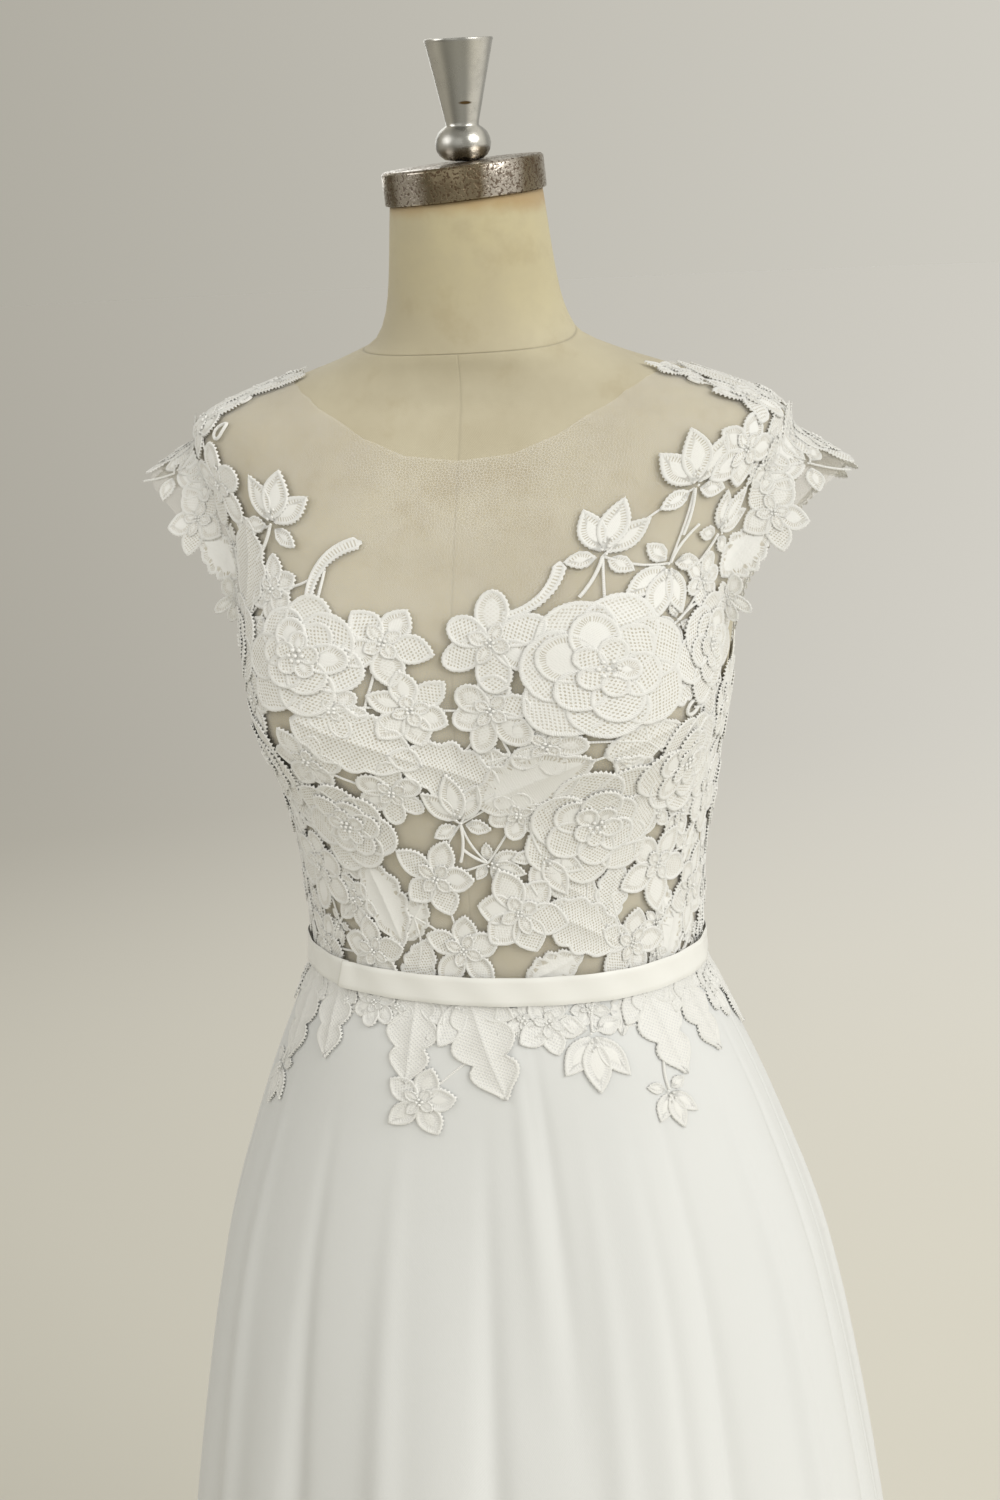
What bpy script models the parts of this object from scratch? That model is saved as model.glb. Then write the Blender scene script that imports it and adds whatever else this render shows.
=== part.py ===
"""Wedding dress with a lace bodice, worn on the limbless dress form that it stands on."""
import math

import bmesh
import bpy
import numpy as np
from mathutils import Vector
from mathutils.geometry import delaunay_2d_cdt

# Sizes, metres. The front faces -Y, the origin is under the middle of the base.
WAIST_Z = 1.06
HEM_DROP = 1.045
FORM_OUT = -0.0010
NET_LOW = 0.0008
NET_HIGH = 0.0018
LACE_LOW = 0.0029
LACE_HIGH = 0.0039
SKIRT_HIGH = 0.0020
BELT_LOW = 0.0048
BELT_HIGH = 0.0060
BELT_HEIGHT = 0.017
SEAM = 0.00017
WAIST_SEAM = 0.0004
TURN_TO_CLOTH = 0.125
NET_COLUMN = math.radians(10)
NET_ROWS = (
    0.026, 0.052, 0.078, 0.104, 0.130, 0.156, 0.182, 0.208, 0.234, 0.260, 0.286,
    0.300, 0.311, 0.325, 0.340, 0.358, 0.376, 0.392,
)
SKIRT_COLUMNS = 72
LACE_DETAIL = 1.4e-5
LACE_SPAN = 0.013
ARM_STEP = math.pi / 12
BASE_RADIUS = 0.155
BASE_HEIGHT = 0.022
POLE_RADIUS = 0.016
FORM_DROP = 0.30
PLACKET = 0.012
BUTTON_COUNT = 8
BUTTON_RADIUS = 0.0055

# One row per level of the form: distance along the cloth from the waist, height above
# the waist, half width, centre in Y, depth in front, depth behind, squareness, lean.
BODY = np.array([
    (-0.300, -0.300, 0.150, 0.004, 0.096, 0.104, 2.10, 0.00),
    (-0.200, -0.200, 0.163, 0.006, 0.106, 0.122, 2.15, 0.00),
    (-0.120, -0.120, 0.151, 0.004, 0.102, 0.112, 2.15, 0.00),
    (-0.050, -0.050, 0.129, 0.000, 0.092, 0.094, 2.15, 0.00),
    (0.000, 0.000, 0.116, 0.000, 0.087, 0.083, 2.15, 0.00),
    (0.050, 0.050, 0.118, 0.000, 0.091, 0.086, 2.20, 0.00),
    (0.100, 0.100, 0.125, 0.000, 0.098, 0.096, 2.25, 0.00),
    (0.150, 0.150, 0.134, 0.000, 0.104, 0.105, 2.30, 0.00),
    (0.200, 0.200, 0.141, 0.000, 0.102, 0.112, 2.35, 0.00),
    (0.240, 0.240, 0.148, 0.002, 0.092, 0.110, 2.40, 0.00),
    (0.275, 0.275, 0.160, 0.004, 0.080, 0.102, 2.45, 0.00),
    (0.300, 0.300, 0.170, 0.006, 0.070, 0.090, 2.45, 0.00),
    (0.311, 0.310, 0.1705, 0.007, 0.067, 0.083, 2.40, 0.00),
    (0.321, 0.317, 0.1645, 0.007, 0.064, 0.078, 2.35, 0.00),
    (0.337, 0.324, 0.1510, 0.007, 0.061, 0.072, 2.30, 0.00),
    (0.357, 0.3315, 0.1315, 0.006, 0.059, 0.066, 2.20, 0.00),
    (0.388, 0.341, 0.104, 0.003, 0.056, 0.060, 2.10, 0.00),
    (0.418, 0.351, 0.076, -0.002, 0.053, 0.055, 2.05, 0.00),
    (0.437, 0.361, 0.057, -0.005, 0.050, 0.051, 2.00, 0.01),
    (0.457, 0.381, 0.049, -0.009, 0.046, 0.046, 2.00, 0.03),
    (0.510, 0.434, 0.0425, -0.017, 0.0425, 0.0425, 2.00, 0.07),
])
# Turn and spread in degrees; height, reach up, reach down and fullness in metres.
BUST = {"turn": 36, "spread": 23, "height": 0.160, "up": 0.062, "down": 0.045, "out": 0.022}
# One row per level of the skirt, with the same columns as the form.
SKIRT = np.array([
    (-1.045, -1.045, 0.306, 0.006, 0.268, 0.286, 2.00, 0.00),
    (-0.800, -0.800, 0.273, 0.006, 0.230, 0.248, 2.00, 0.00),
    (-0.500, -0.500, 0.233, 0.006, 0.184, 0.204, 2.00, 0.00),
    (-0.300, -0.300, 0.206, 0.006, 0.151, 0.172, 2.05, 0.00),
    (-0.200, -0.200, 0.188, 0.006, 0.130, 0.150, 2.10, 0.00),
    (-0.100, -0.100, 0.156, 0.004, 0.108, 0.120, 2.15, 0.00),
    (-0.030, -0.030, 0.1265, 0.000, 0.093, 0.091, 2.15, 0.00),
    (-0.012, -0.012, 0.1180, 0.000, 0.0878, 0.0847, 2.15, 0.00),
    (0.000, 0.000, 0.1160, 0.000, 0.087, 0.083, 2.15, 0.00),
])
# Folds of the skirt: turn in degrees, depth where it starts, height of the fold at the
# hem, width in degrees, sideways drift in degrees by the hem.
FOLDS = (
    (-176, 0.10, 0.022, 9.0, 2),
    (-157, 0.22, 0.017, 7.5, -2),
    (-138, 0.12, 0.024, 8.5, 1),
    (-117, 0.30, 0.018, 8.0, 3),
    (-99, 0.16, 0.024, 7.5, -2),
    (-80, 0.26, 0.019, 7.0, 2),
    (-63, 0.08, 0.026, 8.0, -3),
    (-43, 0.20, 0.018, 7.0, 1),
    (-27, 0.34, 0.015, 7.5, -2),
    (-7, 0.14, 0.020, 9.0, 2),
    (14, 0.24, 0.016, 8.0, 2),
    (33, 0.07, 0.026, 7.5, 3),
    (52, 0.18, 0.020, 7.0, 1),
    (70, 0.06, 0.028, 8.0, 3),
    (90, 0.22, 0.018, 7.5, -1),
    (108, 0.12, 0.025, 8.0, 2),
    (128, 0.28, 0.017, 7.5, -2),
    (146, 0.10, 0.024, 8.5, 1),
    (165, 0.20, 0.018, 7.0, -2),
)
SKIRT_LEVELS = (0.0, 0.010, 0.026, 0.055, 0.11, 0.21, 0.38, 0.68, HEM_DROP)
# Armhole: middle in degrees and along the cloth, reach forward, reach back, half height.
ARMHOLE = {"turn": 90, "along": 0.238, "front": 27, "back": 23, "half": 0.073}
SLEEVE_LENGTH = 0.045
SLEEVE_BEND = 0.014
SLEEVE_FALL = (0.87, 0.0, -0.49)
SLEEVE_TO_CLOTH = 0.080
# Neckline points: turn in degrees, distance along the cloth.
FRONT_NECK = (
    (0, 0.296), (10, 0.299), (18, 0.309), (26, 0.326),
    (38, 0.350), (52, 0.368), (70, 0.381), (89.8, 0.387),
)
BACK_NECK = ((90.2, 0.387), (112, 0.372), (130, 0.345), (148, 0.312), (164, 0.292), (179.8, 0.284))

# Lace: kind, turn in degrees, height along the cloth in mm, size in mm, heading in degrees.
FRONT_LACE = (
    ("rose", -31, 196, 64, 8),
    ("rose", 31, 190, 80, 20),
    ("rose", -30, 98, 60, 0),
    ("rose", 33, 100, 76, 30),
    ("leaf", -20, 150, 62, 115),
    ("leaf", -2, 134, 60, -70),
    ("leaf", 17, 128, 62, 60),
    ("lily", -40, 262, 46, 20),
    ("lily", 47, 278, 48, -15),
    ("lily", 45, 240, 46, 200),
    ("lily", 30, 246, 44, 10),
    ("lily", 0, 102, 46, -10),
    ("bloom", -2, 24, 52, 0),
    ("bloom", -14, 204, 48, 30),
    ("bloom", 9, 204, 52, 0),
    ("bloom", -9, 168, 44, 50),
    ("bloom", 9, 168, 46, 10),
    ("bloom", -8, 68, 54, 20),
    ("bloom", 14, 48, 60, 40),
    ("tendril", -27, 240, 44, 20),
    ("tendril", 17, 226, 40, 60),
    ("leaf", -24, 50, 56, 160),
    ("bloom", -30, 18, 50, 0),
    ("leaf", 32, 36, 60, 120),
    ("bloom", 46, 22, 52, 15),
    ("lily", 20, 84, 44, 150),
    ("bloom", -48, 64, 58, 10),
    ("rose", -52, 132, 66, 40),
    ("bloom", -52, 14, 46, 30),
    ("rose", -58, 196, 62, 15),
    ("leaf", -50, 238, 58, 10),
    ("bloom", 54, 68, 58, 30),
    ("rose", 56, 130, 66, 10),
    ("leaf", 62, 24, 50, 20),
    ("rose", 60, 194, 62, 50),
    ("bloom", -72, 40, 58, 0),
    ("bloom", 74, 44, 58, 20),
    ("bloom", -74, 100, 60, 35),
    ("bloom", 76, 104, 60, 0),
    ("bloom", -78, 152, 56, 15),
    ("bloom", 80, 154, 56, 40),
    ("bloom", -57, 282, 50, 0),
    ("bloom", 58, 296, 48, 20),
    ("bloom", -66, 318, 50, 30),
    ("bloom", 68, 330, 50, 0),
    ("leaf", -78, 346, 52, -20),
    ("leaf", 80, 356, 52, 20),
)
BACK_LACE = (
    ("bloom", 100, 30, 58, 10),
    ("rose", 102, 88, 66, 0),
    ("bloom", 104, 142, 58, 30),
    ("rose", 124, 42, 66, 20),
    ("leaf", 120, 108, 60, 10),
    ("rose", 126, 160, 72, 0),
    ("bloom", 148, 30, 58, 30),
    ("rose", 148, 96, 70, 10),
    ("bloom", 150, 152, 60, 0),
    ("leaf", 168, 56, 58, 0),
    ("bloom", 170, 118, 58, 20),
    ("leaf", 168, 168, 56, 20),
    ("bloom", 168, 16, 44, 0),
    ("lily", 146, 204, 50, 10),
    ("rose", 122, 220, 64, 25),
    ("bloom", 124, 272, 52, 0),
    ("bloom", 114, 314, 50, 30),
    ("leaf", 102, 346, 54, 10),
    ("lily", 168, 210, 44, 0),
)
SKIRT_LACE = (
    ("leaf", -60, -34, 62, 175),
    ("bloom", -63, -66, 36, 0),
    ("lily", -44, -24, 46, 190),
    ("bloom", -30, -14, 34, 0),
    ("leaf", -17, -30, 56, 180),
    ("bloom", -13, -66, 44, 10),
    ("leaf", 3, -33, 60, 195),
    ("leaf", 24, -27, 48, 170),
    ("lily", 47, -28, 56, 185),
    ("leaf", 66, -29, 52, 170),
    ("bloom", -84, -22, 46, 0),
    ("bloom", 84, -22, 46, 20),
)
BACK_SKIRT_LACE = (
    ("leaf", 100, -31, 56, 180),
    ("bloom", 118, -22, 46, 0),
    ("leaf", 134, -33, 60, 185),
    ("lily", 152, -26, 50, 180),
    ("leaf", 170, -30, 54, 175),
)
# Lace of a cap sleeve: kind, distance round the armhole in mm, out in mm, size, heading.
SLEEVE_LACE = (
    ("bloom", -150, 10, 34, 0),
    ("leaf", -118, 14, 46, 60),
    ("bloom", -86, 22, 50, 20),
    ("bloom", -44, 28, 54, 0),
    ("rose", 0, 26, 56, 10),
    ("bloom", 44, 28, 54, 30),
    ("bloom", 86, 22, 50, 0),
    ("leaf", 118, 14, 46, -60),
    ("bloom", 150, 10, 34, 0),
)
# Petals of a kind: count, length and width as shares of the size, and the widest place.
KINDS = {
    "rose": {"petals": 6, "length": 0.50, "width": 0.50, "widest": 0.68},
    "bloom": {"petals": 5, "length": 0.50, "width": 0.44, "widest": 0.62},
    "lily": {"petals": 4, "length": 0.52, "width": 0.34, "widest": 0.45},
}


def smooth_rows(table, place):
    """Rows of a table read smoothly at a place in its first column."""
    place = np.clip(np.asarray(place, float), table[0, 0], table[-1, 0])
    step = np.diff(table[:, 0])[:, None]
    slope = np.diff(table[:, 1:], axis=0) / step
    bend = np.zeros_like(table[:, 1:])
    total = slope[:-1] + slope[1:]
    product = slope[:-1] * slope[1:]
    bend[1:-1] = np.where(product > 0, 2 * product / np.where(total == 0, 1, total), 0)
    bend[0] = slope[0]
    bend[-1] = slope[-1]
    row = np.clip(np.searchsorted(table[:, 0], place, side="right") - 1, 0, len(step) - 1)
    t = ((place - table[row, 0]) / step[row, 0])[..., None]
    first = table[row, 1:]
    second = table[row + 1, 1:]
    kept = (2 * t**3 - 3 * t**2 + 1) * first + (3 * t**2 - 2 * t**3) * second
    return kept + step[row] * ((t**3 - 2 * t**2 + t) * bend[row] + (t**3 - t**2) * bend[row + 1])


def ring_point(table, turn, along):
    """Point on the rounded section that a table gives at a turn and a place along."""
    rows = smooth_rows(table, along)
    height, half, centre, front, back, power, lean = (rows[..., k] for k in range(7))
    sine = np.sin(turn)
    cosine = np.cos(turn)
    norm = (np.abs(sine) ** power + np.abs(cosine) ** power) ** (1 / power)
    x = half * sine / norm
    y = -np.where(cosine > 0, front, back) * cosine / norm
    return x, y, centre, WAIST_Z + height + lean * y


def body_point(turn, along):
    x, y, centre, z = ring_point(BODY, turn, along)
    wrapped = np.abs((turn + math.pi) % (2 * math.pi) - math.pi)
    away = (wrapped - math.radians(BUST["turn"])) / math.radians(BUST["spread"])
    reach = np.where(along > BUST["height"], BUST["up"], BUST["down"])
    tall = (along - BUST["height"]) / reach
    grow = 1 + BUST["out"] * np.exp(-(away**2) - tall**2) / np.hypot(x, y)
    return np.stack([x * grow, centre + y * grow, z], -1)


def skirt_point(turn, along):
    x, y, centre, z = ring_point(SKIRT, turn, along)
    depth = -along
    grow = np.ones_like(x)
    radius = np.hypot(x, y)
    for middle, start, height, width, drift in FOLDS:
        share = np.clip((depth - start) / (HEM_DROP - start), 0, 1)
        at = math.radians(middle) + math.radians(drift) * share
        away = (turn - at + math.pi) % (2 * math.pi) - math.pi
        ridge = np.exp(-((away / math.radians(width)) ** 2))
        grow = grow + (height * share**0.9 * ridge) / radius
    return np.stack([x * grow, centre + y * grow, z], -1)


def armhole_place(angle):
    """Turn and place along the cloth of the armhole at an angle from under the arm."""
    reach = np.where(np.sin(angle) > 0, ARMHOLE["front"], ARMHOLE["back"])
    turn = np.radians(ARMHOLE["turn"] - reach * np.sin(angle))
    return turn, ARMHOLE["along"] - ARMHOLE["half"] * np.cos(angle)


def sleeve_point(across, out):
    """Point of the right cap sleeve: distance round from its top, and distance out."""
    angle = math.pi + np.asarray(across, float) / SLEEVE_TO_CLOTH
    turn, along = armhole_place(angle)
    edge = body_point(turn, along)
    middle = math.radians(ARMHOLE["turn"])
    inner = body_point(turn + (middle - turn) * 0.02, along + (ARMHOLE["along"] - along) * 0.02)
    flow = inner - edge
    flow /= np.linalg.norm(flow, axis=-1, keepdims=True)
    bent = np.where(out < SLEEVE_BEND, out**2 / (2 * SLEEVE_BEND), out - SLEEVE_BEND / 2)
    return edge + flow * (out - bent)[..., None] + np.array(SLEEVE_FALL) * bent[..., None]


def raised(surface, across, along, out, side=1.0):
    """Points of a surface moved out along its own normal."""
    across = np.asarray(across, float)
    along = np.asarray(along, float)
    step = 1e-4
    du = surface(across + step, along) - surface(across - step, along)
    dv = surface(across, along + step) - surface(across, along - step)
    normal = np.cross(du, dv)
    normal /= np.linalg.norm(normal, axis=-1, keepdims=True)
    return surface(across, along) + side * normal * out


def on_body(across, along, out):
    return raised(body_point, np.asarray(across) / TURN_TO_CLOTH, along, out)


def on_skirt(across, along, out):
    return raised(skirt_point, np.asarray(across) / TURN_TO_CLOTH, along, out)


def on_waist(across, along, out):
    low = on_skirt(across, np.minimum(along, -1e-4), out)
    high = on_body(across, np.maximum(along, 1e-4), out)
    return np.where((np.asarray(along) < 0)[..., None], low, high)


def on_right_sleeve(across, along, out):
    return raised(sleeve_point, across, along, out, -1.0)


def on_left_sleeve(across, along, out):
    return on_right_sleeve(across, along, out) * np.array((-1.0, 1.0, 1.0))


def material(name, colour, roughness, metallic=0.0):
    made = bpy.data.materials.new(name)
    made.use_nodes = True
    shader = made.node_tree.nodes["Principled BSDF"]
    shader.inputs["Base Color"].default_value = (*colour, 1.0)
    shader.inputs["Roughness"].default_value = roughness
    shader.inputs["Metallic"].default_value = metallic
    made.diffuse_color = (*colour, 1.0)
    return made


def add_mesh(name, points, faces, look):
    """One closed body facing out, shaded smooth but for its sharp edges."""
    mesh = bpy.data.meshes.new(name)
    made = bmesh.new()
    for point in points:
        made.verts.new(point)
    made.verts.ensure_lookup_table()
    for face in faces:
        made.faces.new([made.verts[k] for k in face])
    bmesh.ops.recalc_face_normals(made, faces=made.faces)
    for face in made.faces:
        face.smooth = True
    for edge in made.edges:
        edge.smooth = edge.calc_face_angle(0.0) < math.radians(50)
    made.to_mesh(mesh)
    made.free()
    mesh.materials.append(look)
    thing = bpy.data.objects.new(name, mesh)
    bpy.context.collection.objects.link(thing)
    return thing


def petal(length, width, widest, heading, base=0.0):
    """Outline of a pointed petal from the middle of its flower."""
    shape = (
        (base, 0.0), (length * widest * 0.55, -width * 0.42), (length * widest, -width * 0.5),
        (length * 0.88, -width * 0.30), (length, 0.0), (length * 0.88, width * 0.30),
        (length * widest, width * 0.5), (length * widest * 0.55, width * 0.42),
    )
    c = math.cos(heading)
    s = math.sin(heading)
    return [(x * s + y * c, x * c - y * s) for x, y in shape]


def motif(kind, size, heading):
    """Outlines of one lace motif about its middle."""
    heading = math.radians(heading)
    if kind == "leaf":
        body = petal(size, size * 0.46, 0.48, heading)
        back = (math.sin(heading) * size / 2, math.cos(heading) * size / 2)
        return [[(x - back[0], y - back[1]) for x, y in body]]
    if kind == "tendril":
        steps = 5
        inner = []
        outer = []
        for k in range(steps + 1):
            turn = heading + math.pi * 0.8 * k / steps
            wide = size * 0.07 * (1.3 - k / steps)
            inner.append((math.sin(turn) * (size * 0.4 - wide), math.cos(turn) * (size * 0.4 - wide)))
            outer.append((math.sin(turn) * (size * 0.4 + wide), math.cos(turn) * (size * 0.4 + wide)))
        return [inner + outer[::-1]]
    made = KINDS[kind]
    outlines = []
    for k in range(made["petals"]):
        turn = heading + 2 * math.pi * k / made["petals"]
        length = size * made["length"] * (1.0 + 0.08 * math.sin(2.3 * k + heading))
        outlines.append(petal(length, size * made["width"], made["widest"], turn, -size * 0.04))
    return outlines


def lace_outlines(table, turned):
    """Outlines of all motifs of a table, placed on the cloth."""
    outlines = []
    for kind, place, along, size, heading in table:
        x = math.radians(place) * TURN_TO_CLOTH if turned else place * 0.001
        for outline in motif(kind, size * 0.001, heading):
            outlines.append([(x + u, along * 0.001 + v) for u, v in outline])
    return outlines


def groups(count, pairs):
    """Number of the joined group that each of the items is in."""
    parent = list(range(count))

    def top(k):
        while parent[k] != k:
            parent[k] = parent[parent[k]]
            k = parent[k]
        return k

    for a, b in pairs:
        parent[top(a)] = top(b)
    return [top(k) for k in range(count)]


def neighbours(faces, chosen):
    """Pairs of chosen faces that share an edge."""
    seen = {}
    pairs = []
    for k in chosen:
        face = faces[k]
        for i in range(3):
            edge = frozenset((face[i], face[(i + 1) % 3]))
            if edge in seen:
                pairs.append((seen[edge], k))
            else:
                seen[edge] = k
    return pairs


def corner_area(first, second, third):
    across = (second[0] - first[0]) * (third[1] - first[1])
    return abs(across - (third[0] - first[0]) * (second[1] - first[1])) / 2


def area_of(points, face):
    return corner_area(*(points[k] for k in face))


def largest_group(points, faces, chosen):
    marks = groups(len(faces), neighbours(faces, chosen))
    sizes = {}
    for k in chosen:
        sizes[marks[k]] = sizes.get(marks[k], 0) + area_of(points, faces[k])
    best = max(sizes, key=sizes.get)
    return {k for k in chosen if marks[k] == best}


def without_touching_corners(faces, chosen):
    """Faces left once no corner joins two parts of the lace by a point alone."""
    chosen = set(chosen)
    while True:
        at = {}
        for k in chosen:
            for v in faces[k]:
                at.setdefault(v, []).append(k)
        dropped = set()
        for fan in at.values():
            marks = groups(len(fan), [
                (i, j) for i in range(len(fan)) for j in range(i)
                if len(set(faces[fan[i]]) & set(faces[fan[j]])) == 2
            ])
            if len(set(marks)) > 1:
                least = min(set(marks), key=marks.count)
                dropped |= {fan[i] for i in range(len(fan)) if marks[i] == least}
        if not dropped:
            return chosen
        chosen -= dropped


def edge_loops(faces, chosen):
    """Rings of points round the edge of the chosen faces, and round each of their gaps."""
    follows = {}
    for k in chosen:
        for i in range(3):
            follows[(faces[k][i], faces[k][(i + 1) % 3])] = True
    after = {a: b for a, b in follows if (b, a) not in follows}
    loops = []
    while after:
        start, spot = next(iter(sorted(after.items())))
        loop = [start]
        while spot != start:
            loop.append(spot)
            spot = after.pop(spot)
        after.pop(start)
        loops.append(loop)
    return loops


def simpler(loop, least):
    """A ring without the points that hardly change its area."""
    loop = list(loop)
    while len(loop) > 4:
        costs = []
        for k in range(len(loop)):
            before, later = loop[k - 1], loop[(k + 1) % len(loop)]
            long = math.dist(before, later) > LACE_SPAN
            costs.append(1.0 if long else corner_area(before, loop[k], later))
        spot = min(range(len(loop)), key=costs.__getitem__)
        if costs[spot] > least:
            return loop
        loop.pop(spot)
    return loop


def filled(loop, span):
    """A ring with its long edges divided, so that it follows a curved surface."""
    points = []
    for (ax, ay), (bx, by) in zip(loop, loop[1:] + loop[:1]):
        count = max(1, math.ceil(math.dist((ax, ay), (bx, by)) / span))
        points += [(ax + (bx - ax) * k / count, ay + (by - ay) * k / count) for k in range(count)]
    return points


def ring_area(loop):
    return sum(a[0] * b[1] - b[0] * a[1] for a, b in zip(loop, loop[1:] + loop[:1])) / 2


def flat_cut(rings, inner_points):
    """Flat triangles over some rings, each with the numbers of the rings that it is in."""
    points = []
    numbers = []
    for ring in rings:
        numbers.append(list(range(len(points), len(points) + len(ring))))
        points.extend(ring if ring_area(ring) > 0 else ring[::-1])
    points.extend(inner_points)
    flat, _, faces, _, _, marks = delaunay_2d_cdt([Vector(p) for p in points], [], numbers, 0, 1e-5, True)
    return [(p.x, p.y) for p in flat], faces, marks


def cut_cloth(outline, motifs, inner_points, least_gap):
    """Flat triangles of a panel, or of the lace motifs where they lie on the panel."""
    flat, faces, marks = flat_cut([outline] + motifs, [] if motifs else inner_points)
    within = {k for k, mark in enumerate(marks) if 0 in mark}
    if not motifs:
        return flat, faces, within
    chosen = {k for k in within if len(marks[k]) > 1}
    rest = within - chosen
    holes = groups(len(faces), neighbours(faces, rest))
    sizes = {}
    for k in rest:
        sizes[holes[k]] = sizes.get(holes[k], 0) + area_of(flat, faces[k])
    chosen |= {k for k in rest if sizes[holes[k]] < least_gap}
    chosen = largest_group(flat, faces, without_touching_corners(faces, chosen))
    rings = [[flat[v] for v in loop] for loop in edge_loops(faces, chosen)]
    rings = [filled(simpler(ring, LACE_DETAIL), LACE_SPAN * 1.6) for ring in rings]
    gaps = [ring[::-1] for ring in rings if ring_area(ring) < -least_gap]
    edge = max(rings, key=ring_area)
    flat, faces, marks = flat_cut([edge] + gaps, inner_points)
    chosen = {k for k, mark in enumerate(marks) if list(mark) == [0]}
    chosen = without_touching_corners(faces, chosen)
    return flat, faces, largest_group(flat, faces, chosen)


def cloth(name, outline, surface, low, high, look, motifs=(), inner_points=(), least_gap=2.0e-5):
    """Closed wall of cloth cut to an outline, with its gaps, on a surface."""
    flat, faces, chosen = cut_cloth(outline, list(motifs), inner_points, least_gap)
    used = sorted({v for k in chosen for v in faces[k]})
    number = {v: i for i, v in enumerate(used)}
    across = np.array([flat[v][0] for v in used])
    along = np.array([flat[v][1] for v in used])
    points = np.concatenate([surface(across, along, low), surface(across, along, high)])
    count = len(used)
    walls = []
    edges = {}
    for k in sorted(chosen):
        a, b, c = (number[v] for v in faces[k])
        walls.append((a, c, b))
        walls.append((a + count, b + count, c + count))
        for edge in ((a, b), (b, c), (c, a)):
            edges[edge] = True
    for a, b in edges:
        if (b, a) not in edges:
            walls.append((a, b, b + count, a + count))
    return add_mesh(name, points, walls, look)


def grid_points(left, right):
    """Points of the common grid that the form and all layers of the bodice share."""
    columns = range(math.ceil(left / NET_COLUMN), math.floor(right / NET_COLUMN) + 1)
    return [(c * NET_COLUMN * TURN_TO_CLOTH, row) for c in columns for row in NET_ROWS]


def along_grid(first, second, step=0.0):
    """Points from one to another, without the last, with one at each line of the grid."""
    points = [first]
    if abs(first[0] - second[0]) < 1e-9:
        low, high = sorted((first[1], second[1]))
        rows = [row for row in NET_ROWS if low + 0.004 < row < high - 0.004]
        points += [(first[0], row) for row in (rows if first[1] < second[1] else rows[::-1])]
        return points
    column = step or NET_COLUMN * TURN_TO_CLOTH
    low, high = sorted((first[0], second[0]))
    columns = [c * column for c in range(-100, 101) if low + 0.004 < c * column < high - 0.004]
    return points + [(x, first[1]) for x in (columns if first[0] < second[0] else columns[::-1])]


def cloth_place(turn, along):
    return math.radians(turn) * TURN_TO_CLOTH, along


def neck_edge(rows):
    """Points of a neckline, close enough to lie on the curve of the form."""
    corners = [cloth_place(*row) for row in rows]
    points = []
    for (ax, ay), (bx, by) in zip(corners, corners[1:]):
        count = max(1, round(math.dist((ax, ay), (bx, by)) / 0.013))
        points += [(ax + (bx - ax) * k / count, ay + (by - ay) * k / count) for k in range(count)]
    return points + [corners[-1]]


def armhole_edge(first, last, grow):
    """Points of the armhole edge, a little inside the panel."""
    points = []
    middle = math.radians(ARMHOLE["turn"]) * TURN_TO_CLOTH
    for k in range(first, last + (1 if last > first else -1), 1 if last > first else -1):
        turn, along = armhole_place(k * ARM_STEP)
        dx = float(turn) * TURN_TO_CLOTH - middle
        dy = float(along) - ARMHOLE["along"]
        size = math.hypot(dx, dy)
        points.append((middle + dx * (1 + grow / size), ARMHOLE["along"] + dy * (1 + grow / size)))
    return points


def front_outline(grow):
    """Front panel: waist, side seams, armholes, shoulders and neckline."""
    side = math.pi / 2 * TURN_TO_CLOTH - SEAM
    neck = neck_edge(FRONT_NECK)
    foot = ARMHOLE["along"] - ARMHOLE["half"] - grow
    top = ARMHOLE["along"] + ARMHOLE["half"] + grow
    right = along_grid((0.0, WAIST_SEAM), (side, WAIST_SEAM))
    right += along_grid((side, WAIST_SEAM), (side, foot))
    right += [(side, foot)] + armhole_edge(1, 11, grow)
    right += along_grid((side, top), (side, neck[-1][1])) + neck[::-1][:-1]
    left = [(-x, y) for x, y in right if x > 1e-6]
    return right + [neck[0]] + left[::-1]


def back_outline(grow):
    """Right back panel, from the side seam to the centre back."""
    side = math.pi / 2 * TURN_TO_CLOTH + SEAM
    centre = math.pi * TURN_TO_CLOTH - SEAM
    neck = neck_edge(BACK_NECK)
    foot = ARMHOLE["along"] - ARMHOLE["half"] - grow
    top = ARMHOLE["along"] + ARMHOLE["half"] + grow
    edge = along_grid((side, WAIST_SEAM), (centre, WAIST_SEAM))
    edge += along_grid((centre, WAIST_SEAM), (centre, neck[-1][1])) + neck[::-1]
    edge += along_grid((side, neck[0][1]), (side, top))[1:] + [(side, top)]
    edge += armhole_edge(13, 23, grow)
    return edge + along_grid((side, foot), (side, WAIST_SEAM))


def mirrored(points):
    return [(-x, y) for x, y in points][::-1]


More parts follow.
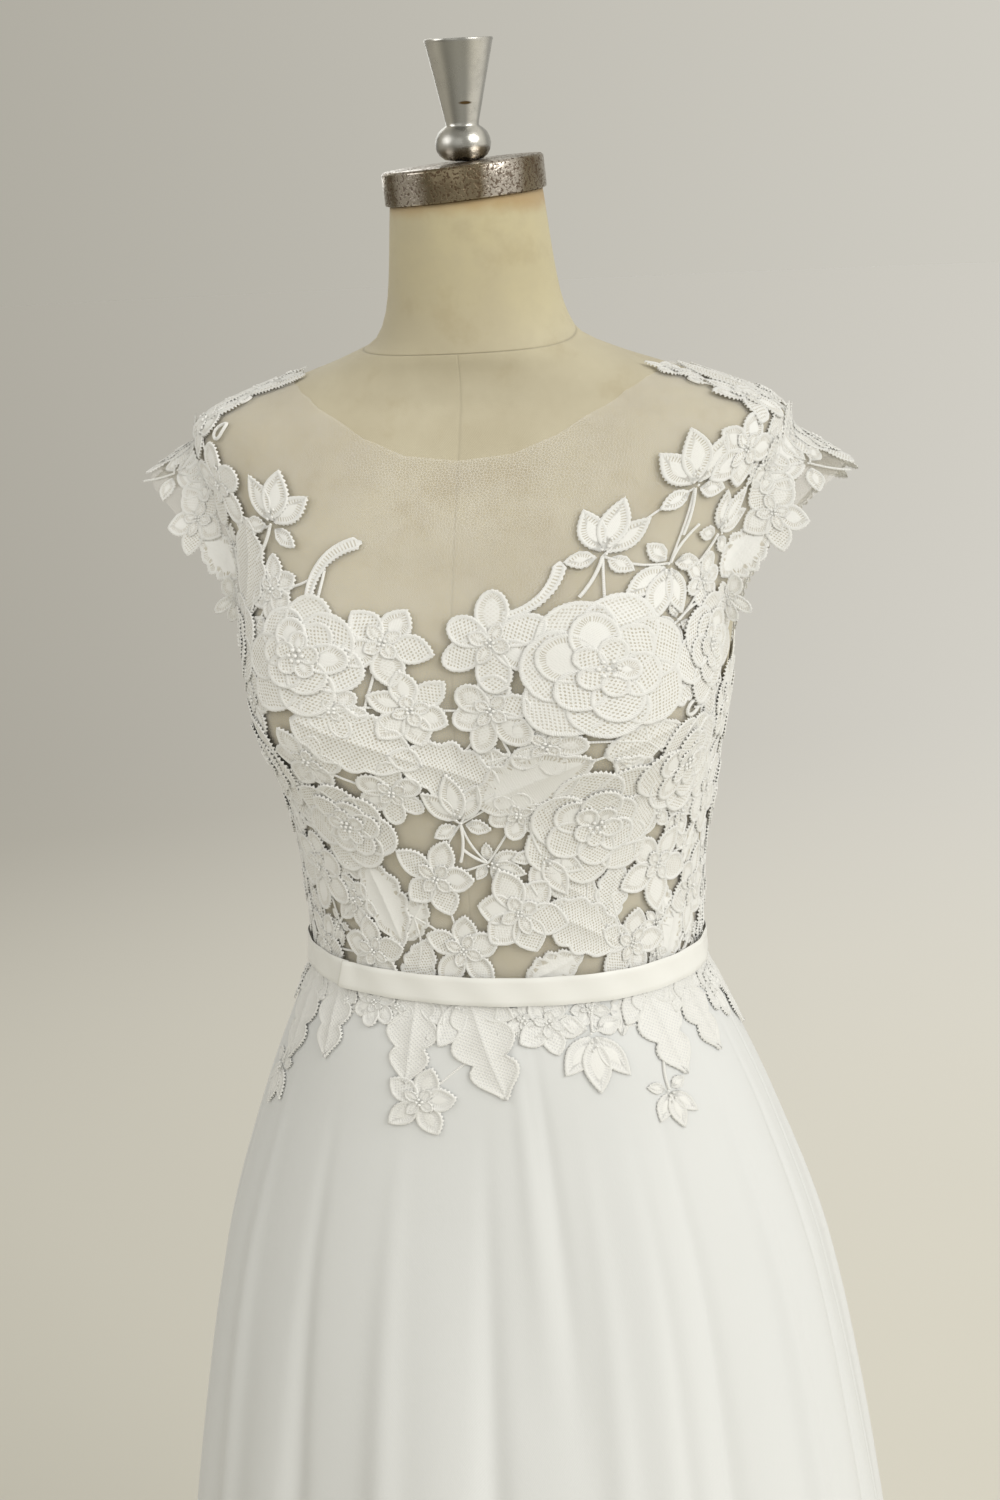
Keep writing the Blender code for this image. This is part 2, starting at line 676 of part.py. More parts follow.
def bodice(looks):
    strip = [(-0.5, 0.0), (0.5, 0.0), (0.5, 0.008), (-0.5, 0.008)]
    front_lace = lace_outlines(FRONT_LACE, True) + [strip]
    centre = math.pi * TURN_TO_CLOTH
    top = BACK_NECK[-1][1]
    placket = [(centre - PLACKET, 0.0), (centre, 0.0), (centre, top), (centre - PLACKET, top)]
    back_lace = lace_outlines(BACK_LACE, True) + [strip, placket]
    quarter = math.pi / 2
    front = grid_points(-quarter, quarter)
    back = grid_points(quarter, math.pi)
    outline = front_outline(SEAM)
    cloth("bodice_front", outline, on_body, NET_LOW, NET_HIGH, looks["net"], (), inside(outline, front))
    outline = front_outline(SEAM * 4)
    cloth("bodice_lace_front", outline, on_body, LACE_LOW, LACE_HIGH, looks["lace"], front_lace,
          inside(outline, front))
    for name, turned in (("right", list), ("left", mirrored)):
        grid = turned(back)
        outline = turned(back_outline(SEAM))
        cloth("bodice_back_" + name, outline, on_body, NET_LOW, NET_HIGH, looks["net"], (),
              inside(outline, grid))
        outline = turned(back_outline(SEAM * 4))
        cloth("bodice_lace_back_" + name, outline, on_body, LACE_LOW, LACE_HIGH, looks["lace"],
              [turned(m) for m in back_lace], inside(outline, grid))


def inside(outline, points, margin=0.0022):
    """Points of a list that lie inside an outline, clear of its edge."""
    kept = []
    for x, y in points:
        hit = False
        near = 1.0
        for k in range(len(outline)):
            (ax, ay), (bx, by) = outline[k - 1], outline[k]
            if (ay > y) != (by > y) and x < ax + (y - ay) * (bx - ax) / (by - ay):
                hit = not hit
            length = (bx - ax) ** 2 + (by - ay) ** 2
            t = ((x - ax) * (bx - ax) + (y - ay) * (by - ay)) / max(length, 1e-12)
            t = max(0.0, min(1.0, t))
            near = min(near, math.dist((x, y), (ax + t * (bx - ax), ay + t * (by - ay))))
        if hit and near > margin:
            kept.append((x, y))
    return kept


def sleeve_length(across):
    """How far the cap sleeve reaches out at a distance round from its top."""
    share = (1 + np.cos(across / SLEEVE_TO_CLOTH)) / 2
    return SLEEVE_LENGTH * share**1.1


def sleeve_outline(start, extra):
    """Cap sleeve from low in front, over the shoulder, to low behind."""
    foot = [(k * ARM_STEP * SLEEVE_TO_CLOTH, start) for k in range(-10, 11)]
    edge = [(x, float(sleeve_length(x)) + extra) for x, _ in foot]
    return foot + edge[::-1]


def sleeves(looks):
    net = sleeve_outline(SEAM, 0.0)
    wide = sleeve_outline(SEAM * 6, 0.005)
    grid = [(k * ARM_STEP * SLEEVE_TO_CLOTH, y) for k in range(-9, 10) for y in (0.008, 0.016, 0.027)]
    motifs = lace_outlines(SLEEVE_LACE, False)
    for name, surface in (("right", on_right_sleeve), ("left", on_left_sleeve)):
        cloth("sleeve_" + name, net, surface, NET_LOW, NET_HIGH, looks["net"], (), inside(net, grid))
        cloth("sleeve_lace_" + name, wide, surface, LACE_LOW, LACE_HIGH, looks["lace"], motifs,
              inside(wide, grid))


def strip_wall(name, surface, turns, levels, low, high, look):
    """Closed wall on a regular grid of turns and places along the cloth."""
    turns = np.asarray(turns)
    levels = np.asarray(levels)
    across = np.repeat(turns * TURN_TO_CLOTH, len(levels))
    along = np.tile(levels, len(turns))
    points = np.concatenate([surface(across, along, low), surface(across, along, high)])
    count = len(across)
    rows = len(levels)
    faces = []
    for i in range(len(turns) - 1):
        for j in range(rows - 1):
            a = i * rows + j
            quad = (a, a + rows, a + rows + 1, a + 1)
            faces.append(quad)
            faces.append(tuple(k + count for k in quad[::-1]))
    border = [(i * rows, (i + 1) * rows) for i in range(len(turns) - 1)]
    border += [((i + 1) * rows + rows - 1, i * rows + rows - 1) for i in range(len(turns) - 1)]
    last = (len(turns) - 1) * rows
    border += [(last + j, last + j + 1) for j in range(rows - 1)]
    border += [(j + 1, j) for j in range(rows - 1)]
    for a, b in border:
        faces.append((a, b, b + count, a + count))
    return add_mesh(name, points, faces, look)


def skirt_outline(left, right, column):
    """Part of the skirt that its lace may cover, from one seam to the next."""
    top = along_grid((right, -WAIST_SEAM), (left, -WAIST_SEAM), column)
    return [(left, -0.13), (right, -0.13)] + top + [(left, -WAIST_SEAM)]


def skirt(looks):
    gap = SEAM / TURN_TO_CLOTH
    levels = [-d for d in SKIRT_LEVELS]
    levels[0] = -WAIST_SEAM
    parts = (
        ("skirt_front", -math.pi / 2 + gap, math.pi / 2 - gap, SKIRT_COLUMNS // 2),
        ("skirt_back_right", math.pi / 2 + gap, math.pi - gap, SKIRT_COLUMNS // 4),
        ("skirt_back_left", -math.pi + gap, -math.pi / 2 - gap, SKIRT_COLUMNS // 4),
    )
    for name, start, end, count in parts:
        turns = np.linspace(start, end, count + 1)
        strip_wall(name, on_skirt, turns, levels, NET_LOW, SKIRT_HIGH, looks["chiffon"])
    strip = [(-0.5, -0.009), (0.5, -0.009), (0.5, 0.0), (-0.5, 0.0)]
    side = math.pi / 2 * TURN_TO_CLOTH
    column = math.pi * 2 / SKIRT_COLUMNS * TURN_TO_CLOTH
    front = skirt_outline(-side + SEAM, side - SEAM, column)
    back = skirt_outline(side + SEAM, 2 * side - SEAM, column)
    columns = range(-SKIRT_COLUMNS // 2, SKIRT_COLUMNS // 2)
    grid = [(c * column, -d) for c in columns for d in SKIRT_LEVELS[1:5]]
    front_lace = lace_outlines(SKIRT_LACE, True) + [strip]
    back_lace = lace_outlines(BACK_SKIRT_LACE, True) + [strip]
    low = LACE_LOW + 0.0002
    high = LACE_HIGH + 0.0002
    cloth("skirt_lace_front", front, on_skirt, low, high, looks["lace"], front_lace, inside(front, grid))
    cloth("skirt_lace_back_right", back, on_skirt, low, high, looks["lace"], back_lace, inside(back, grid))
    flipped = mirrored(back)
    cloth("skirt_lace_back_left", flipped, on_skirt, low, high, looks["lace"],
          [mirrored(m) for m in back_lace], inside(flipped, grid))


def belt(looks):
    """Ribbon belt: the front ribbon from side to side, and the back one tucked behind its end."""
    half = BELT_HEIGHT / 2
    levels = (-half, 0.0, half)
    front = np.radians(np.linspace(-64, 90, 19))
    back = np.radians(np.linspace(90.2, 295.8, 25))
    strip_wall("belt_front", on_waist, front, levels, BELT_LOW, BELT_HIGH, looks["satin"])
    strip_wall("belt_back", on_waist, back, levels, BELT_LOW, BELT_HIGH, looks["satin"])


def turned_body(name, profile, count, look, place=(0.0, 0.0, 0.0), tilt=0.0):
    """Solid turned about its own upright axis from rows of radius and height."""
    points = []
    faces = []
    for radius, height in profile:
        for k in range(count):
            a = 2 * math.pi * k / count
            points.append((radius * math.cos(a), radius * math.sin(a), height))
    for j in range(len(profile) - 1):
        for k in range(count):
            m = (k + 1) % count
            faces.append((j * count + k, j * count + m, (j + 1) * count + m, (j + 1) * count + k))
    faces.append(tuple(range(count))[::-1])
    faces.append(tuple((len(profile) - 1) * count + k for k in range(count)))
    thing = add_mesh(name, points, faces, look)
    thing.location = place
    thing.rotation_euler = (tilt, 0.0, 0.0)
    return thing


def dress_form(looks):
    columns = round(2 * math.pi / NET_COLUMN)
    levels = (-FORM_DROP, -0.24, -0.18, -0.12, -0.07, -0.03, 0.0) + NET_ROWS + (0.414, 0.437, 0.470, 0.510)
    turns = np.arange(columns) * NET_COLUMN
    points = []
    faces = []
    for level in levels:
        points.extend(raised(body_point, turns, np.full(columns, level), FORM_OUT))
    for j in range(len(levels) - 1):
        for k in range(columns):
            m = (k + 1) % columns
            faces.append((j * columns + k, j * columns + m, (j + 1) * columns + m, (j + 1) * columns + k))
    faces.append(tuple(range(columns))[::-1])
    faces.append(tuple((len(levels) - 1) * columns + k for k in range(columns)))
    add_mesh("form_torso", points, faces, looks["linen"])
    top = BODY[-1]
    neck = (0.0, top[3], WAIST_Z + top[1])
    tilt = math.atan(top[7])
    axis = np.array((0.0, -math.sin(tilt), math.cos(tilt)))
    cap = ((0.0437, 0.0), (0.0444, 0.0010), (0.0444, 0.0196), (0.0436, 0.0206), (0.030, 0.0212))
    turned_body("form_cap", cap, 24, looks["band"], tuple(neck + axis * 0.0004), tilt)
    knob = (
        (0.0085, 0.0), (0.0122, 0.0018), (0.0147, 0.0054), (0.0152, 0.0090), (0.0143, 0.0130),
        (0.0114, 0.0167), (0.0105, 0.0180), (0.0126, 0.0190), (0.0130, 0.0206), (0.0182, 0.0612),
        (0.0185, 0.0624), (0.0178, 0.0630),
    )
    turned_body("form_knob", knob, 16, looks["alloy"], tuple(neck + axis * 0.0220), tilt)
    low = WAIST_Z - FORM_DROP
    pole = (
        (POLE_RADIUS, 0.0), (POLE_RADIUS, low - BASE_HEIGHT - 0.0206), (0.045, low - BASE_HEIGHT - 0.0066),
        (0.045, low - BASE_HEIGHT - 0.0006),
    )
    turned_body("stand_pole", pole, 24, looks["steel"], (0.0, 0.0, BASE_HEIGHT + 0.0003))
    base = (
        (BASE_RADIUS - 0.002, 0.0), (BASE_RADIUS, 0.002), (BASE_RADIUS, 0.010),
        (BASE_RADIUS - 0.008, 0.0145), (0.050, BASE_HEIGHT - 0.001), (0.045, BASE_HEIGHT),
    )
    turned_body("stand_base", base, 28, looks["steel"])


def buttons(looks):
    """Covered buttons down the centre back, from the neckline to the belt."""
    dome = ((0.0045, 0.0), (BUTTON_RADIUS, 0.0016), (0.0030, 0.0042))
    top = BACK_NECK[-1][1] - 0.010
    low = BELT_HEIGHT / 2 + 0.012
    for k in range(BUTTON_COUNT):
        spot = np.array([math.pi * TURN_TO_CLOTH - PLACKET / 2])
        along = np.array([low + (top - low) * k / (BUTTON_COUNT - 1)])
        seat = on_body(spot, along, LACE_HIGH + 0.0004)[0]
        flow = seat - on_body(spot, along, 0.0)[0]
        thing = turned_body("button_%d" % (k + 1), dome, 8, looks["satin"], tuple(seat))
        thing.rotation_euler = Vector(flow).to_track_quat("Z", "Y").to_euler()


def main():
    for thing in list(bpy.data.objects):
        bpy.data.objects.remove(thing, do_unlink=True)
    looks = {
        "linen": material("form_linen", (0.62, 0.58, 0.44), 0.85),
        "band": material("cap_plated_metal", (0.42, 0.38, 0.32), 0.35, 1.0),
        "alloy": material("knob_aluminium", (0.62, 0.61, 0.58), 0.32, 1.0),
        "steel": material("stand_painted_metal", (0.05, 0.05, 0.055), 0.45, 0.0),
        "net": material("net_fabric", (0.80, 0.76, 0.66), 0.9),
        "lace": material("lace_fabric", (0.88, 0.87, 0.84), 0.85),
        "chiffon": material("chiffon_fabric", (0.86, 0.86, 0.86), 0.75),
        "satin": material("satin_ribbon", (0.88, 0.87, 0.82), 0.4),
    }
    dress_form(looks)
    bodice(looks)
    sleeves(looks)
    belt(looks)
    skirt(looks)
    buttons(looks)


main()
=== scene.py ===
"""Looks of the lace wedding dress and the dress form that it stands on."""
import math

import bpy
import numpy as np
from mathutils import Matrix, Vector
from mathutils.geometry import delaunay_2d_cdt


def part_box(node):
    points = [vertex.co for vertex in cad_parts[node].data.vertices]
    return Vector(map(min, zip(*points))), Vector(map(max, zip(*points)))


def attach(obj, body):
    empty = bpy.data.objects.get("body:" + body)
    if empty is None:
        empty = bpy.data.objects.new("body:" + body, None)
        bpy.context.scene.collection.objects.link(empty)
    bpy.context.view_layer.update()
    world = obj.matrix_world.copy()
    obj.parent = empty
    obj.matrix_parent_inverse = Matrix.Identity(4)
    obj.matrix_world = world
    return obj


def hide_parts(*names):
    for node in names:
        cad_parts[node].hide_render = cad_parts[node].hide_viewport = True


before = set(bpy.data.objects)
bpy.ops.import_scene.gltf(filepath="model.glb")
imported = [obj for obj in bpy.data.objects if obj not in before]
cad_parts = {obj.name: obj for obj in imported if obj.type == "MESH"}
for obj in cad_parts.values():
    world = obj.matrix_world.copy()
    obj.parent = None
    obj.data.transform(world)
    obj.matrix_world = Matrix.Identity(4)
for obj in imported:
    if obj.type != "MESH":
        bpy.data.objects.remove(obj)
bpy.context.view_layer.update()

bl_info = {
    "name": "Lace Wedding Dress",
    "version": (1, 0, 0),
    "blender": (4, 5, 0),
    "location": "3D View > Sidebar > Dress",
    "description": "Builds a lace wedding dress on a limbless dress form",
    "category": "Object",
}

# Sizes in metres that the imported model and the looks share. The front faces -Y.
WAIST_Z = 1.06
HEM_DROP = 1.045
TURN_TO_CLOTH = 0.125
FORM_DROP = 0.30
BASE_HEIGHT = 0.022
BASE_RADIUS = 0.155
POLE_RADIUS = 0.016
SLEEVE_LENGTH = 0.045
SLEEVE_BEND = 0.014
SLEEVE_FALL = (0.87, 0.0, -0.49)
SLEEVE_TO_CLOTH = 0.080
BUTTON_COUNT = 8
LAP_TURN = -42.5
LAP_PLACE = math.radians(LAP_TURN) * TURN_TO_CLOTH
CAP_LEAN = 0.068
LACE_FOOT = 0.0012
PLACKET = 0.012
SEAM = 0.00017
WAIST_SEAM = 0.0004

# Form: distance along the cloth from the waist, height, half width, centre in Y, depth in
# front, depth behind, squareness, lean.
BODY = np.array([
    (-0.300, -0.300, 0.150, 0.004, 0.096, 0.104, 2.10, 0.00),
    (-0.200, -0.200, 0.163, 0.006, 0.106, 0.122, 2.15, 0.00),
    (-0.120, -0.120, 0.151, 0.004, 0.102, 0.112, 2.15, 0.00),
    (-0.050, -0.050, 0.129, 0.000, 0.092, 0.094, 2.15, 0.00),
    (0.000, 0.000, 0.116, 0.000, 0.087, 0.083, 2.15, 0.00),
    (0.050, 0.050, 0.118, 0.000, 0.091, 0.086, 2.20, 0.00),
    (0.100, 0.100, 0.125, 0.000, 0.098, 0.096, 2.25, 0.00),
    (0.150, 0.150, 0.134, 0.000, 0.104, 0.105, 2.30, 0.00),
    (0.200, 0.200, 0.141, 0.000, 0.102, 0.112, 2.35, 0.00),
    (0.240, 0.240, 0.148, 0.002, 0.092, 0.110, 2.40, 0.00),
    (0.275, 0.275, 0.160, 0.004, 0.080, 0.102, 2.45, 0.00),
    (0.300, 0.300, 0.170, 0.006, 0.070, 0.090, 2.45, 0.00),
    (0.311, 0.310, 0.1705, 0.007, 0.067, 0.083, 2.40, 0.00),
    (0.321, 0.317, 0.1645, 0.007, 0.064, 0.078, 2.35, 0.00),
    (0.337, 0.324, 0.1510, 0.007, 0.061, 0.072, 2.30, 0.00),
    (0.357, 0.3315, 0.1315, 0.006, 0.059, 0.066, 2.20, 0.00),
    (0.388, 0.341, 0.104, 0.003, 0.056, 0.060, 2.10, 0.00),
    (0.418, 0.351, 0.076, -0.002, 0.053, 0.055, 2.05, 0.00),
    (0.437, 0.361, 0.057, -0.005, 0.050, 0.051, 2.00, 0.01),
    (0.457, 0.381, 0.049, -0.009, 0.046, 0.046, 2.00, 0.03),
    (0.510, 0.434, 0.0425, -0.017, 0.0425, 0.0425, 2.00, 0.07),
])
BUST = {"turn": 36, "spread": 23, "height": 0.160, "up": 0.062, "down": 0.045, "out": 0.022}
SKIRT = np.array([
    (-1.045, -1.045, 0.306, 0.006, 0.268, 0.286, 2.00, 0.00),
    (-0.800, -0.800, 0.273, 0.006, 0.230, 0.248, 2.00, 0.00),
    (-0.500, -0.500, 0.233, 0.006, 0.184, 0.204, 2.00, 0.00),
    (-0.300, -0.300, 0.206, 0.006, 0.151, 0.172, 2.05, 0.00),
    (-0.200, -0.200, 0.188, 0.006, 0.130, 0.150, 2.10, 0.00),
    (-0.100, -0.100, 0.156, 0.004, 0.108, 0.120, 2.15, 0.00),
    (-0.030, -0.030, 0.1265, 0.000, 0.093, 0.091, 2.15, 0.00),
    (-0.012, -0.012, 0.1180, 0.000, 0.0878, 0.0847, 2.15, 0.00),
    (0.000, 0.000, 0.1160, 0.000, 0.087, 0.083, 2.15, 0.00),
])
# Folds: turn in degrees, depth where it starts, height at the hem, width and drift in degrees.
FOLDS = (
    (-176, 0.10, 0.022, 9.0, 2), (-157, 0.22, 0.017, 7.5, -2), (-138, 0.12, 0.024, 8.5, 1),
    (-117, 0.30, 0.018, 8.0, 3), (-99, 0.16, 0.024, 7.5, -2), (-80, 0.26, 0.019, 7.0, 2),
    (-63, 0.08, 0.026, 8.0, -3), (-43, 0.20, 0.018, 7.0, 1), (-27, 0.34, 0.015, 7.5, -2),
    (-7, 0.14, 0.020, 9.0, 2), (14, 0.24, 0.016, 8.0, 2), (33, 0.07, 0.026, 7.5, 3),
    (52, 0.18, 0.020, 7.0, 1), (70, 0.06, 0.028, 8.0, 3), (90, 0.22, 0.018, 7.5, -1),
    (108, 0.12, 0.025, 8.0, 2), (128, 0.28, 0.017, 7.5, -2), (146, 0.10, 0.024, 8.5, 1),
    (165, 0.20, 0.018, 7.0, -2),
)
# Small creases between the folds: turn, start and end depth, height, width in degrees.
CREASES = (
    (-168, 0.03, 0.60, 0.0034, 2.4), (-148, 0.02, 0.52, -0.0034, 2.2), (-127, 0.04, 0.70, 0.0036, 2.6),
    (-108, 0.02, 0.48, -0.0034, 2.0), (-90, 0.03, 0.65, 0.0034, 2.2), (-72, 0.03, 0.70, -0.0046, 2.6),
    (-54, 0.05, 0.80, 0.0042, 2.6), (-35, 0.06, 0.80, -0.0046, 2.4), (-17, 0.07, 0.80, 0.0042, 3.0),
    (2, 0.06, 0.80, -0.0048, 2.6), (10, 0.01, 0.26, 0.0016, 1.8), (15, 0.01, 0.30, -0.0016, 1.6),
    (23, 0.06, 0.84, 0.0040, 2.6), (34, 0.07, 0.86, -0.0044, 2.2), (42, 0.04, 0.72, -0.0040, 2.2),
    (61, 0.03, 0.76, 0.0042, 2.4), (79, 0.02, 0.60, -0.0038, 2.2), (99, 0.03, 0.68, 0.0036, 2.4),
    (118, 0.02, 0.56, -0.0034, 2.2), (137, 0.04, 0.70, 0.0034, 2.4), (156, 0.03, 0.60, -0.0034, 2.2),
    (174, 0.02, 0.54, 0.0030, 2.0),
)
ARMHOLE = {"turn": 90, "along": 0.238, "front": 27, "back": 23, "half": 0.073}
FRONT_NECK = (
    (0, 0.296), (10, 0.299), (18, 0.309), (26, 0.326),
    (38, 0.350), (52, 0.368), (70, 0.381), (89.8, 0.387),
)
BACK_NECK = ((90.2, 0.387), (112, 0.372), (130, 0.345), (148, 0.312), (164, 0.292), (179.8, 0.284))

# Lace: kind, turn in degrees, height along the cloth in mm, size in mm, heading in degrees.
FRONT_LACE = (
    ("rose", -31, 196, 64, 8), ("rose", 31, 190, 80, 20), ("rose", -30, 98, 60, 0),
    ("rose", 33, 100, 76, 30), ("leaf", -20, 150, 62, 115), ("leaf", -2, 134, 60, -70),
    ("leaf", 17, 128, 62, 60), ("lily", -40, 262, 46, 20), ("lily", 47, 278, 48, -15),
    ("lily", 45, 240, 46, 200), ("lily", 30, 246, 44, 10), ("lily", 0, 102, 46, -10),
    ("bloom", -2, 24, 52, 0), ("bloom", -14, 204, 48, 30), ("bloom", 9, 204, 52, 0),
    ("bloom", -9, 168, 44, 50), ("bloom", 9, 168, 46, 10), ("bloom", -8, 68, 54, 20),
    ("bloom", 14, 48, 60, 40), ("tendril", -27, 240, 44, 20), ("tendril", 17, 226, 40, 60),
    ("leaf", -24, 50, 56, 160), ("bloom", -30, 18, 50, 0), ("leaf", 32, 36, 60, 120),
    ("bloom", 46, 22, 52, 15), ("lily", 20, 84, 44, 150), ("bloom", -48, 64, 58, 10),
    ("rose", -52, 132, 66, 40), ("bloom", -52, 14, 46, 30), ("rose", -58, 196, 62, 15),
    ("leaf", -50, 238, 58, 10), ("bloom", 54, 68, 58, 30), ("rose", 56, 130, 66, 10),
    ("leaf", 62, 24, 50, 20), ("rose", 60, 194, 62, 50), ("bloom", -72, 40, 58, 0),
    ("bloom", 74, 44, 58, 20), ("bloom", -74, 100, 60, 35), ("bloom", 76, 104, 60, 0),
    ("bloom", -78, 152, 56, 15), ("bloom", 80, 154, 56, 40), ("bloom", -57, 282, 50, 0),
    ("bloom", 58, 296, 48, 20), ("bloom", -66, 318, 50, 30), ("bloom", 68, 330, 50, 0),
    ("leaf", -78, 346, 52, -20), ("leaf", 80, 356, 52, 20),
)
BACK_LACE = (
    ("bloom", 100, 30, 58, 10), ("rose", 102, 88, 66, 0), ("bloom", 104, 142, 58, 30),
    ("rose", 124, 42, 66, 20), ("leaf", 120, 108, 60, 10), ("rose", 126, 160, 72, 0),
    ("bloom", 148, 30, 58, 30), ("rose", 148, 96, 70, 10), ("bloom", 150, 152, 60, 0),
    ("leaf", 168, 56, 58, 0), ("bloom", 170, 118, 50, 20), ("leaf", 168, 168, 50, 20),
    ("bloom", 168, 16, 44, 0), ("lily", 146, 204, 50, 10), ("rose", 122, 220, 64, 25),
    ("bloom", 124, 272, 52, 0), ("bloom", 114, 314, 50, 30), ("leaf", 102, 346, 54, 10),
    ("lily", 168, 210, 44, 0),
)
SKIRT_LACE = (
    ("spray", -60, -34, 60, 175), ("lily", -63, -70, 40, 182), ("spray", -44, -28, 50, 172),
    ("bloom", -30, -14, 34, 0), ("spray", -17, -30, 54, 180), ("bloom", -13, -66, 44, 10),
    ("spray", 3, -33, 62, 160), ("bloom", 20, -20, 40, 170), ("lily", 31, -26, 50, 185),
    ("spray", 52, -30, 58, 172), ("lily", 47, -64, 34, 176), ("spray", 68, -29, 52, 170),
    ("bloom", -84, -22, 46, 0), ("bloom", 84, -22, 46, 20),
)
BACK_SKIRT_LACE = (
    ("spray", 100, -31, 56, 180), ("bloom", 118, -22, 46, 0), ("spray", 134, -33, 60, 185),
    ("lily", 152, -26, 50, 180), ("spray", 170, -30, 54, 175),
)
# Cap sleeve: kind, distance round the armhole in mm, out in mm, size, heading.
SLEEVE_LACE = (
    ("bloom", -150, 10, 34, 0), ("leaf", -118, 14, 46, 60), ("bloom", -86, 22, 50, 20),
    ("lily", -44, 26, 54, 200), ("bloom", -64, 6, 40, 0), ("rose", 0, 24, 54, 10),
    ("bloom", -26, 8, 40, 30), ("bloom", 30, 8, 42, 30), ("leaf", 46, 26, 46, 10),
    ("bloom", 72, 10, 34, 0), ("leaf", 104, 5, 30, -80),
)
FILL_KINDS = ("bloom", "leaf", "lily", "bloom", "loop", "leaf")
# Upper edge of the lace: turn in degrees, and distance along the cloth from the waist.
FRONT_LACE_RIM = (
    (0, 0.190), (10, 0.208), (20, 0.222), (26, 0.238), (34, 0.262),
    (42, 0.285), (50, 0.302), (57, 0.330), (64, 0.375), (90, 0.400),
)
BACK_LACE_RIM = ((90, 0.360), (105, 0.345), (120, 0.315), (135, 0.270), (150, 0.232), (180, 0.222))
# Stands for a place where the net stays open: no place lies as far as this from the lace.
OPEN_NET = 1.0

# Turned hard pieces: radius and height of each step.
CAP_STEPS = (
    (0.0440, 0.0), (0.0444, 0.0006), (0.0445, 0.0090), (0.0444, 0.0166),
    (0.0432, 0.0178), (0.030, 0.0182), (0.012, 0.0183),
)
KNOB_STEPS = (
    (0.0060, 0.0), (0.0104, 0.0008), (0.0130, 0.0028), (0.0146, 0.0056),
    (0.0152, 0.0090), (0.0147, 0.0120), (0.0132, 0.0150), (0.0112, 0.0169),
    (0.0094, 0.0180), (0.0090, 0.0186), (0.0092, 0.0206), (0.0137, 0.0409),
    (0.0182, 0.0612), (0.0186, 0.0620), (0.0184, 0.0629), (0.0176, 0.0632),
)
POLE_TOP = WAIST_Z - FORM_DROP - BASE_HEIGHT
POLE_STEPS = (
    (POLE_RADIUS, 0.0), (POLE_RADIUS, POLE_TOP - 0.0206), (0.022, POLE_TOP - 0.0170),
    (0.036, POLE_TOP - 0.0100), (0.045, POLE_TOP - 0.0066), (0.045, POLE_TOP - 0.0006),
)
FOOT_STEPS = (
    (BASE_RADIUS - 0.002, 0.0), (BASE_RADIUS, 0.002), (BASE_RADIUS, 0.010),
    (BASE_RADIUS - 0.008, 0.0145), (0.050, BASE_HEIGHT - 0.001), (0.045, BASE_HEIGHT),
)
BUTTON_STEPS = (
    (0.0040, 0.0), (0.0050, 0.0006), (0.0055, 0.0014), (0.0053, 0.0022),
    (0.0045, 0.0031), (0.0031, 0.0038), (0.0014, 0.0042),
)
# The dark brown spot painted as the shade of a small hole in the knob is wider than it is tall: how much
# each axis is drawn out.
HOLE_SHADE_SHAPE = (0.6, 0.6, 2.4)
# Seams of the linen: turns of the upright ones, and place of the neck seam along the cloth.
SEAM_TURNS = (-90, 0, 90, 180)
NECK_SEAM = 0.434

# Studio lamps: name, place, aim, size, power, colour.
LAMPS = (
    ("front", (-0.6, -2.8, 2.2), (0.0, 0.0, 1.1), 2.2, 7.5, (1.0, 1.0, 0.98)),
    ("left", (-0.95, -0.60, 1.95), (0.0, 0.0, 1.40), 0.7, 3.3, (1.0, 1.0, 1.0)),
    ("back", (-1.6, 2.6, 2.3), (0.0, 0.0, 1.1), 1.8, 14, (1.0, 1.0, 0.98)),
)
SUN_FLOW = (-0.80, 0.45, -0.50)
# Camera: turn, pitch and roll in degrees, distance from the axis and height over the waist,
# sensor width in mm, and focal length and shift as shares of the picture's height.
CAMERA_ANGLES = (13, 14.7, 2.6)
CAMERA_DISTANCE = 1.18
CAMERA_HEIGHT = 0.43
CAMERA_SENSOR = 36
CAMERA_FOCAL = 2060 / 1500
CAMERA_SHIFT = (2 / 1500, -6 / 1500)
# Colour of the backdrop on the darker and the lighter side, where across the view one passes
# into the other, its strength, and the share of it that is painted on the far floor as painted light, so
# that the floor looks the same.
BACKDROP = ((0.72, 0.68, 0.57), (1.46, 1.42, 1.29))
BACKDROP_SPREAD = (-0.85, 0.35)
BACKDROP_STRENGTH = 0.47
FLOOR_SHARE = (0.602, 0.616, 0.673)


def smooth_rows(table, place):
    """Rows of a table read smoothly at a place in its first column."""
    place = np.clip(np.asarray(place, float), table[0, 0], table[-1, 0])
    step = np.diff(table[:, 0])[:, None]
    slope = np.diff(table[:, 1:], axis=0) / step
    bend = np.zeros_like(table[:, 1:])
    total = slope[:-1] + slope[1:]
    product = slope[:-1] * slope[1:]
    bend[1:-1] = np.where(product > 0, 2 * product / np.where(total == 0, 1, total), 0)
    bend[0] = slope[0]
    bend[-1] = slope[-1]
    row = np.clip(np.searchsorted(table[:, 0], place, side="right") - 1, 0, len(step) - 1)
    t = ((place - table[row, 0]) / step[row, 0])[..., None]
    first = table[row, 1:]
    second = table[row + 1, 1:]
    kept = (2 * t**3 - 3 * t**2 + 1) * first + (3 * t**2 - 2 * t**3) * second
    return kept + step[row] * ((t**3 - 2 * t**2 + t) * bend[row] + (t**3 - t**2) * bend[row + 1])


def ring_point(table, turn, along):
    rows = smooth_rows(table, along)
    height, half, centre, front, back, power, lean = (rows[..., k] for k in range(7))
    sine = np.sin(turn)
    cosine = np.cos(turn)
    norm = (np.abs(sine) ** power + np.abs(cosine) ** power) ** (1 / power)
    x = half * sine / norm
    y = -np.where(cosine > 0, front, back) * cosine / norm
    return x, y, centre, WAIST_Z + height + lean * y


